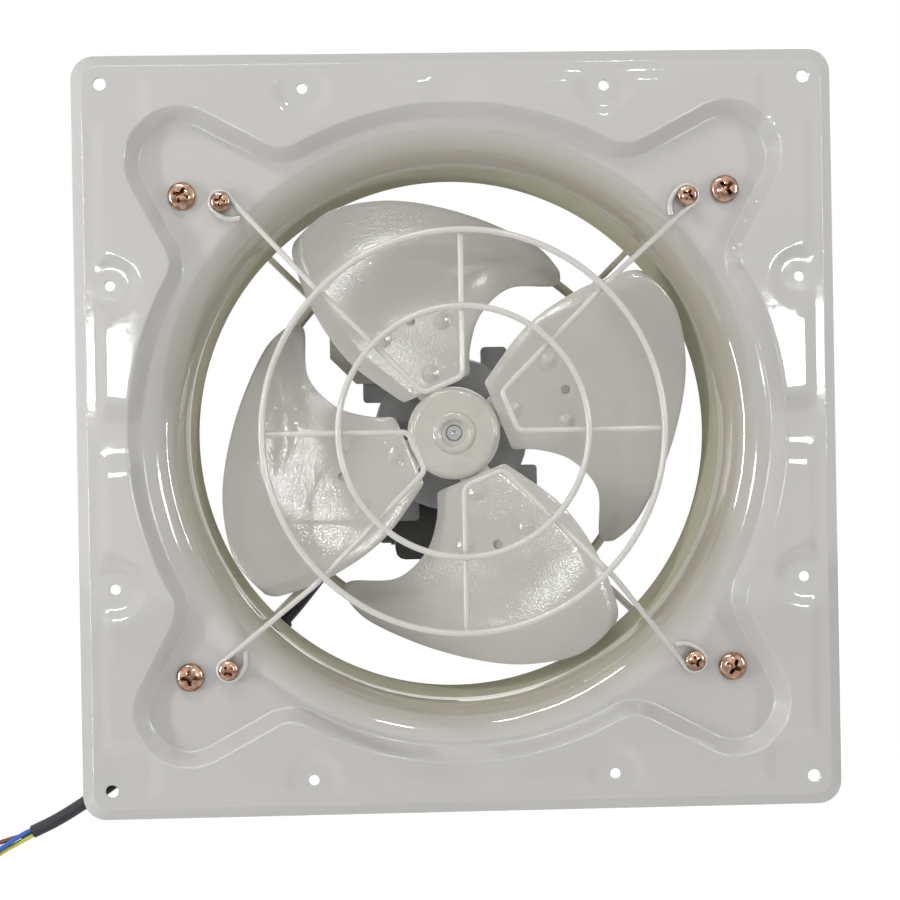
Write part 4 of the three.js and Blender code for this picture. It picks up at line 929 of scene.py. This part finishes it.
def make_guard():
    depth = GUARD_DEPTH - WIRE / 2 - RING_WIRE / 2 - SEAT
    for radius, node in ((GUARD_RING_RADIUS, "guard_outer_ring"),
                         (GUARD_INNER_RADIUS, "guard_inner_ring")):
        wire_ring(node, node + "_wire", radius, depth, RING_WIRE)
    hook_depth = FLOOR_DEPTH - WIRE / 2 - SEAT
    round_screw = arc(GUARD_SCREW_PLACE, 0, HOOK_RADIUS, HOOK_START, HOOK_STOP, 22)
    tail = [(GUARD_SCREW_PLACE + x, z) for x, z in HOOK_TAIL] + round_screw[:1]
    hook = smooth_route(lifted(tail, hook_depth), 5)[:-1] + lifted(round_screw, hook_depth)
    last = hook[-1]
    heart = GUARD_HEART * DIAGONAL
    tip = (GUARD_RING_RADIUS + WIRE / 4) * DIAGONAL
    corners = [
        last,
        Vector((last.x - HOOK_RADIUS * MM, last.y, last.z * 0.9)),
        place(GUARD_RING_RADIUS + HOOK_RADIUS, GUARD_DEPTH, 0),
        place(GUARD_HEART, GUARD_DEPTH, 0),
        place(heart, GUARD_DEPTH, -heart),
        place(tip, GUARD_DEPTH, -tip),
    ]
    run = []
    for before, corner, after in zip(corners, corners[1:], corners[2:]):
        ends = [corner + way.normalized() * min(WIRE_BEND * MM, way.length / 2)
                for way in (before - corner, after - corner)]
        run += pulled_bend(ends[0], corner, ends[1], 8)
    wire = drawn_tube("guard_wire", hook + run + corners[-1:], WIRE)
    first = settle(wire, "guard_wire_pattern", "guard_wire_top_right", smooth=60)
    four_about_axis(first, 0.5, CORNERS, "guard_rod_", "guard_wire_")


make_guard()


# ------------------------------------------------------------------ screws

def cross_head(head, rise, shank, length):
    """A domed screw head with a cross recess, on its shank."""
    radius, shaft = head / 2, shank / 2
    dome = [(radius * math.sin(t), -rise * 0.3 - rise * 0.7 * math.cos(t))
            for t in stations(9, QUARTER)]
    body = spun([*dome, (radius, -0.25), (radius - 0.3, 0), (shaft, 0), (shaft, length - 0.6),
                 (shaft - 0.6, length), (0, length)], 40)
    rings = []
    for reach, half, depth in ((0.34, 0.095, -1.3), (0.27, 0.07, -0.8), (0.13, 0.035, 0.1)):
        reach, half = reach * head, half * head
        arm = [(half, half), (half * 0.8, reach), (-half * 0.8, reach)]
        rings.append(lifted(four_times(arm), depth * rise))
    start_ring(rings[0])
    bpy.ops.mesh.edge_face_add()
    for before, after in zip(rings, rings[1:]):
        select_ring(before)
        extrude_ring(before, after)
    bpy.ops.mesh.edge_face_add()
    bpy.ops.mesh.select_all(action="SELECT")
    bpy.ops.mesh.normals_make_consistent(inside=False)
    bpy.ops.object.mode_set(mode="OBJECT")
    return cut_away(body, bpy.context.active_object)


def make_screws():
    small, big = cross_head(*GUARD_SCREW), cross_head(*LEG_SCREW)
    on_wire, on_floor = FLOOR_DEPTH - WIRE - 2 * SEAT, FLOOR_DEPTH - SEAT
    for (corner, (sx, sz)), turn in zip(CORNERS.items(), SCREW_TURNS):
        for node, pattern, (x, z), seat, share in (
                ("guard_screw_", small, GUARD_SCREW_AT, on_wire, 1),
                ("leg_screw_", big, LEG_SCREW_AT, on_floor, LEG_SCREW_TURN)):
            screw = copied(pattern)
            screw.data.transform(Matrix.Translation((sx * x * MM, seat * MM, sz * z * MM))
                                 @ Matrix.Rotation(turn * share, 4, "Y"))
            settle(screw, node + corner + "_head", node + corner, smooth=35)
    bpy.data.objects.remove(small)
    bpy.data.objects.remove(big)


make_screws()


# ------------------------------------------------------------------ blades and hub

def smooth_line(points):
    """Points along the smooth curve through the given ones."""
    fine = []
    ends = [points[0], *points, points[-1]]
    for a, b, c, d in zip(ends, ends[1:], ends[2:], ends[3:]):
        for k in range(24):
            u = k / 24
            fine.append(tuple(
                0.5 * (2 * q + (r - p) * u + (2 * p - 5 * q + 4 * r - s) * u * u
                       + (3 * q - p - 3 * r + s) * u ** 3) for p, q, r, s in zip(a, b, c, d)))
    return [*fine, points[-1]]


OUTLINE_SCALE = FAN_RADIUS / DRAWN_RADIUS
EDGES = {
    "leading": [(-25.1, 15.5), (-51.8, 35.9), (-69.1, 61.1), (-78.2, 86), (-77.7, 94.8)],
    "tip": [(-77.7, 94.8), (-60.8, 109.3), (-37.2, 115), (-13.3, 114.1), (15.8, 107.1),
            (44.5, 94.7), (56.8, 82.5)],
    "trailing": [(8.9, 29.5), (9.3, 43.4), (15, 59.9), (30.1, 73), (54.2, 74.8), (56.8, 82.5)],
    "root": [(-25.1, 15.5), (8.9, 29.5)],
}


def measured(points):
    lengths = [0.0]
    for p, q in zip(points, points[1:]):
        lengths.append(lengths[-1] + math.dist(p, q))
    return points, lengths


DRAWN = {name: measured(smooth_line([(x * OUTLINE_SCALE, z * OUTLINE_SCALE) for x, z in points]))
         for name, points in EDGES.items()}


def along_edge(name, length):
    """The point at this length along an edge of the blade."""
    fine, lengths = DRAWN[name]
    for k in range(len(lengths) - 1):
        if lengths[k + 1] >= length:
            share = (length - lengths[k]) / max(lengths[k + 1] - lengths[k], 1e-9)
            return Vector(fine[k]).lerp(Vector(fine[k + 1]), share)
    return Vector(fine[-1])


def edge_at(name, t):
    return along_edge(name, t * DRAWN[name][1][-1])


def shortened(name, at_end, cut, curve):
    """Cuts this length off one end of an edge and puts the points of the curve there instead."""
    fine, lengths = DRAWN[name]
    if at_end:
        kept = [p for p, length in zip(fine, lengths) if length < lengths[-1] - cut - 0.2]
        return measured(kept + curve)
    kept = [p for p, length in zip(fine, lengths) if length > cut + 0.2]
    return measured(curve[::-1] + kept)


def round_corner(first, first_ends, second, second_ends, radius):
    """Rounds the corner where two edges meet; each takes half of the curve."""
    corner = edge_at(first, 1 if first_ends else 0)
    total_first, total_second = DRAWN[first][1][-1], DRAWN[second][1][-1]
    way_first = (along_edge(first, total_first - 3 if first_ends else 3) - corner).normalized()
    way_second = (along_edge(second, total_second - 3 if second_ends else 3) - corner).normalized()
    cut = radius / math.tan(math.acos(way_first.dot(way_second)) / 2)
    a = along_edge(first, total_first - cut if first_ends else cut)
    b = along_edge(second, total_second - cut if second_ends else cut)
    bend = [tuple(spot) for spot in pulled_bend(a, corner, b, 12)]
    DRAWN[first] = shortened(first, first_ends, cut, bend[:7])
    DRAWN[second] = shortened(second, second_ends, cut, bend[:5:-1])


round_corner("root", False, "leading", False, ROOT_CORNER)
round_corner("root", True, "trailing", False, ROOT_CORNER)
round_corner("tip", True, "trailing", True, TIP_CORNER)
round_corner("leading", True, "tip", False, LEADING_CORNER)


def blade_place(u, v):
    root, tip = edge_at("root", u), edge_at("tip", u)
    lead, trail = edge_at("leading", v), edge_at("trailing", v)
    corners = (edge_at("root", 0) * (1 - u) * (1 - v) + edge_at("root", 1) * u * (1 - v)
               + edge_at("tip", 0) * (1 - u) * v + edge_at("tip", 1) * u * v)
    return root * (1 - v) + tip * v + lead * (1 - u) + trail * u - corners


CREASES = [
    # (places along a pressed valley, its depth, its half width)
    ([(-38, 89), (-20.6, 87.6), (-0.9, 84.4), (21.1, 84.8), (36.8, 86), (50, 84)], 0.6, 4.6),
    ([(4, 69), (10, 76.5), (17, 82), (36.7, 84)], 0.55, 4.2),
    ([(6, 98.5), (19.3, 92.5), (33, 87)], 0.35, 3.6),
]


def crease_drop(x, z):
    """The shallow pressed valleys that run together into the trailing tip."""
    drop = 0.0
    for places, deep, half_width in CREASES:
        nearest, along = 1e9, 0.0
        for k, ((ax, az), (bx, bz)) in enumerate(zip(places, places[1:])):
            dx, dz = bx - ax, bz - az
            t = min(max(((x - ax) * dx + (z - az) * dz) / (dx * dx + dz * dz), 0), 1)
            away = math.hypot(x - ax - t * dx, z - az - t * dz)
            if away < nearest:
                nearest, along = away, (k + t) / (len(places) - 1)
        drop = max(drop, deep * smoothstep(along, 0, 0.5) * math.exp(-(nearest / half_width) ** 2))
    return drop


def blade_depth(x, z, from_leading, from_trailing):
    """Depth of the blade's front skin: its slope, camber, folded edges and creases."""
    across = (x - BLADE_CENTRE) / CAMBER_HALF
    camber = CAMBER * smoothstep(math.hypot(x, z), CAMBER_FROM, CAMBER_TO) * (1 - across * across)
    fold = FOLD_DROP * max(0.0, 1 - from_leading / LEADING_FOLD) ** 1.5
    root_fold = (ROOT_FOLD * max(0.0, 1 - from_trailing / ROOT_FOLD_WIDTH) ** 1.7
                 * (1 - smoothstep(z, ROOT_FOLD_FROM, ROOT_FOLD_TO)))
    return (BLADE_DEPTH + BLADE_SLOPE * (x - BLADE_CENTRE) - camber + fold + root_fold
            + crease_drop(x, z))


def on_blade(x, z, depth=0.0):
    """The frame of a place on the blade's flat root, depth behind its front skin."""
    tilt = math.atan(BLADE_SLOPE)
    there = place(x, BLADE_DEPTH + BLADE_SLOPE * (x - BLADE_CENTRE), z)
    return (Matrix.Translation(there) @ Matrix.Rotation(tilt, 4, "Z")
            @ Matrix.Translation((0, depth * MM, 0)))


def make_blades():
    select_only()
    bpy.ops.mesh.primitive_grid_add(x_subdivisions=COLUMNS, y_subdivisions=ROWS, size=2)
    bpy.ops.object.mode_set(mode="EDIT")
    for vertex in edited().verts:
        v = (vertex.co.y + 1) / 2
        chord = (blade_place(0, v) - blade_place(1, v)).length
        share = LEADING_FOLD / chord
        column = (vertex.co.x + 1) / 2 * COLUMNS
        u = (share * column / FOLDED_COLUMNS if column < FOLDED_COLUMNS else
             share + (1 - share) * (column - FOLDED_COLUMNS) / (COLUMNS - FOLDED_COLUMNS))
        spot = blade_place(u, v)
        vertex.co = place(spot.x, blade_depth(spot.x, spot.y, u * chord, (1 - u) * chord), spot.y)
    redraw()
    blade = finish_sheet(BLADE_SHEET)
    for x, z in [*RIVET_PLACES, BALANCE_HOLE]:
        drill = bar(24, RIVET_HOLE, 12)
        drill.data.transform(on_blade(x, z))
        cut_away(blade, drill)
    bevel_edges(blade, 0.3, 2, 40)
    first = settle(blade, "blade_pattern", "blade_top", smooth=28)
    four_about_axis(first, 0, ("top", "left", "bottom", "right"), "pressed_blade_", "blade_")


make_blades()


def make_rivet(x, z):
    """A rivet with a domed head on the blade and its tail behind the arm."""
    edge = RIVET_HEAD / 2 + 0.5
    dome = [(edge * t, -SEAT / 2 - RIVET_RISE * (0.5 + 0.5 * math.cos(math.pi * t)) ** 0.75)
            for t in stations(12)]
    rivet = spun([*dome, *RIVET_TAIL], 32)
    rivet.data.transform(Matrix.Translation((0, RIM_DEPTH * MM, 0)))
    rivet.data.transform(on_blade(x, z))
    return rivet


def make_arm():
    """The spider's arm behind a blade's three rivets."""
    margin = RIVET_HEAD / 2 + ARM_MARGIN
    upper, left, lower = RIVET_PLACES
    outline = [(-10.5, 11), (1, 14), *arc(*lower, margin, -0.15, 0.1, 3),
               *arc(*upper, margin, 0, 0.6 * math.pi, 12),
               *arc(*left, margin, 0.6 * math.pi, 1.25 * math.pi, 12)]
    root = on_blade(BLADE_CENTRE, 0, BLADE_SHEET + SEAT)
    start_ring([root @ (Vector((x - BLADE_CENTRE, 0, z)) * MM) for x, z in outline])
    bpy.ops.mesh.edge_face_add()
    return bevel_edges(finish_sheet(ARM_SHEET), 0.35)


def make_hub():
    rim_depth = HUB_FRONT + HUB_EDGE
    rear = rim_depth + HUB_WALL
    bore = SHAFT / 2 + SEAT / 2
    boss = HUB_BOSS_RADIUS
    rounded = [(HUB_RADIUS - HUB_EDGE * (1 - math.sin(a)), rim_depth - HUB_EDGE * math.cos(a))
               for a in stations(10, QUARTER)]
    bead = [(boss - HUB_BEAD * (1 - math.cos(a)), HUB_FRONT - HUB_BEAD / 2 * math.sin(a) ** 0.8)
            for a in stations(10, math.pi)[-2:0:-1]]
    hub = spun([(bore, HUB_FRONT + 1.3), (bore + 0.4, HUB_FRONT + 0.9),
                (boss - 4.1, HUB_FRONT + 0.8), *bead, (boss + 0.4, HUB_FRONT), *rounded,
                (HUB_RADIUS, rear - 0.4), (HUB_RADIUS - 0.4, rear), (boss, rear),
                (boss, HUB_BOSS_END - 0.5), (boss - 0.5, HUB_BOSS_END), (bore, HUB_BOSS_END),
                (bore, HUB_FRONT + 1.3)], 96)
    pattern = [make_rivet(x, z) for x, z in RIVET_PLACES] + [make_arm()]
    copies = [copied(part, turn * QUARTER) for turn in (1, 2, 3) for part in pattern]
    hub = settle(joined(hub, *pattern, *copies), "hub_and_spider", "fan_hub", smooth=32)
    hub.data.materials[0] = HUB_CREAM
    reach = (HUB_RADIUS + HUB_COAT_REACH) * MM
    second_finish(hub, BLADE_CREAM, lambda face: face.center.xz.length > reach)
    radius = SHAFT / 2
    shaft = spun([(0, SHAFT_FRONT + 0.6), (1.1, SHAFT_FRONT + 0.35), (1.3, SHAFT_FRONT),
                  (radius - 0.5, SHAFT_FRONT), (radius, SHAFT_FRONT + 0.5),
                  (radius, SHAFT_END - 0.5), (radius - 0.5, SHAFT_END), (0, SHAFT_END)], 48)
    settle(shaft, "shaft_bar", "motor_shaft")


make_hub()


# ------------------------------------------------------------------ carried-over CAD pieces

def refined(node, name, width, segments=2):
    """A clean copy of a CAD node's mesh with its edges rounded, which then stands for the node."""
    piece = copied(frame["nodes"][node])
    piece.hide_render = piece.hide_viewport = False
    for tag in list(piece.keys()):
        del piece[tag]
    select_only(piece)
    bpy.ops.object.mode_set(mode="EDIT")
    bpy.ops.mesh.select_all(action="SELECT")
    bpy.ops.mesh.remove_doubles(threshold=2e-6)
    bpy.ops.mesh.dissolve_limited(angle_limit=math.radians(0.5))
    bpy.ops.object.mode_set(mode="OBJECT")
    bevel_edges(piece, width, segments, 28.0)
    settle(piece, name, node, smooth=35)


for corner in CORNERS:
    refined("motor_leg_" + corner, "leg_" + corner, 0.5)
    refined("ear_bolt_" + corner, "motor_bolt_" + corner, 0.35)
for node, name, width, segments in (
        ("terminal_box", "box_body", 0.7, 3), ("terminal_box_lid", "box_lid", 0.6, 3),
        ("cable_clip_1", "clip_upper", 0.15, 2), ("cable_clip_2", "clip_lower", 0.15, 2),
        ("lid_screw_1", "lid_screw_left", 0.15, 2), ("lid_screw_2", "lid_screw_right", 0.15, 2),
        ("cable_gland", "gland", 0.3, 2), ("motor_front_shield", "motor_shield", 0.5, 2)):
    refined(node, name, width, segments)
wire_ring("rear_leg_ring", "rear_ring_wire", REAR_RING_RADIUS, LEG_REAR + SEAT + REAR_RING_WIRE / 2,
          REAR_RING_WIRE)


def make_shell():
    inner, bend = MOTOR_RADIUS - SHELL_SHEET, SHELL_REAR - SHELL_BEND
    boss, bore, end = REAR_BOSS_RADIUS, REAR_BOSS_BORE, SHELL_REAR + REAR_BOSS_LENGTH
    rolled = [(MOTOR_RADIUS - SHELL_BEND * (1 - math.cos(a)), bend + SHELL_BEND * math.sin(a))
              for a in stations(8, QUARTER)]
    shell = spun([(inner, SHELL_FRONT), (MOTOR_RADIUS, SHELL_FRONT), *rolled,
                  (boss + 1, SHELL_REAR), (boss, SHELL_REAR + 1), (boss, end - 1.5),
                  (boss - 0.5, end - 0.5), (boss - 1.5, end), (0, end), (0, end - 1.5),
                  (bore, end - 1.5), (bore, SHELL_REAR - SHELL_SHEET),
                  (inner - 3, SHELL_REAR - SHELL_SHEET), (inner, bend), (inner, SHELL_FRONT)], 96)
    settle(shell, "motor_can", "motor_shell")


make_shell()

for node, cad_piece in frame["nodes"].items():
    if not cad_piece.hide_render:
        cad_piece.data.materials.clear()
        cad_piece.data.materials.append(FINISHES[SLOT_OF[node]])


# ------------------------------------------------------------------ floor, world and lamps

FLOOR_GLOW, GLOW_SHARE, SOFT_LIGHT = 1.14, 0.85, 0.36


def share_out(tree, share, first, second, output):
    """Ends a tree in the first shader, and in the second where the share is 1."""
    blend = tree.nodes.new("ShaderNodeMixShader")
    for given, socket in zip((share, first.outputs[0], second.outputs[0]), blend.inputs):
        tree.links.new(given, socket)
    tree.links.new(blend.outputs[0], tree.nodes[output].inputs["Surface"])


def make_floor():
    """A pale floor behind and below, which the camera sees nearly white."""
    select_only()
    bpy.ops.mesh.primitive_plane_add(size=14, location=(0, 2, -0.6))
    floor = bpy.context.active_object
    floor.name = "floor"
    white = bpy.data.materials.new("pale_floor")
    white.use_nodes = True
    tree = white.node_tree
    matt = tree.nodes["Principled BSDF"]
    matt.inputs["Base Color"].default_value = (0.9, 0.9, 0.9, 1)
    matt.inputs["Roughness"].default_value = 0.9
    glow = tree.nodes.new("ShaderNodeEmission")
    glow.inputs["Strength"].default_value = FLOOR_GLOW
    rays = tree.nodes.new("ShaderNodeLightPath").outputs
    share_out(tree, maths(tree, "MULTIPLY", rays["Is Camera Ray"], GLOW_SHARE), matt, glow,
              "Material Output")
    floor.data.materials.append(white)


def make_world():
    """White where it is seen or mirrored, and dimmer as light on dull faces."""
    world = bpy.data.worlds.new("studio")
    bpy.context.scene.world = world
    world.use_nodes = True
    tree = world.node_tree
    soft, plain = tree.nodes["Background"], tree.nodes.new("ShaderNodeBackground")
    for shader, strength in ((soft, SOFT_LIGHT), (plain, 1.0)):
        shader.inputs["Color"].default_value = (1, 1, 1, 1)
        shader.inputs["Strength"].default_value = strength
    rays = tree.nodes.new("ShaderNodeLightPath").outputs
    mirrored = maths(tree, "MAXIMUM", rays["Is Glossy Ray"], rays["Is Transmission Ray"])
    share_out(tree, maths(tree, "MAXIMUM", rays["Is Camera Ray"], mirrored), soft, plain,
              "World Output")


make_floor()
make_world()


def lamp(name, where, width, height, radiance):
    """An area lamp that faces the part, as bright as given wherever it is mirrored."""
    light = bpy.data.lights.new(name, "AREA")
    light.shape = "RECTANGLE"
    light.size, light.size_y = width, height
    light.energy = radiance * 4 * width * height
    holder = link(bpy.data.objects.new(name, light))
    holder.location = where
    holder.rotation_euler = (-Vector(where)).to_track_quat("-Z", "Y").to_euler()


lamp("ceiling_strip", (-0.45, -0.8, 1.45), 0.9, 0.08, 25)
lamp("left_side", (-1.45, -0.6, 0.0), 0.08, 0.9, 32)
lamp("right_side", (1.4, -0.65, 0.25), 0.06, 0.6, 31)
lamp("low_strip", (0.2, -1.0, -1.2), 0.9, 0.08, 30)
lamp("left_pane", (-0.49, -1.51, 0.12), 0.2, 0.115, 14)
lamp("right_pane", (0.65, -1.51, 0.13), 0.22, 0.12, 14)
lamp("high_pane", (0.49, -2.5, 1.44), 0.14, 0.1, 60)
lamp("rear_fill", (0.4, 1.6, 1.0), 1.2, 1.2, 1.4)

bpy.context.scene.view_settings.view_transform = "Standard"
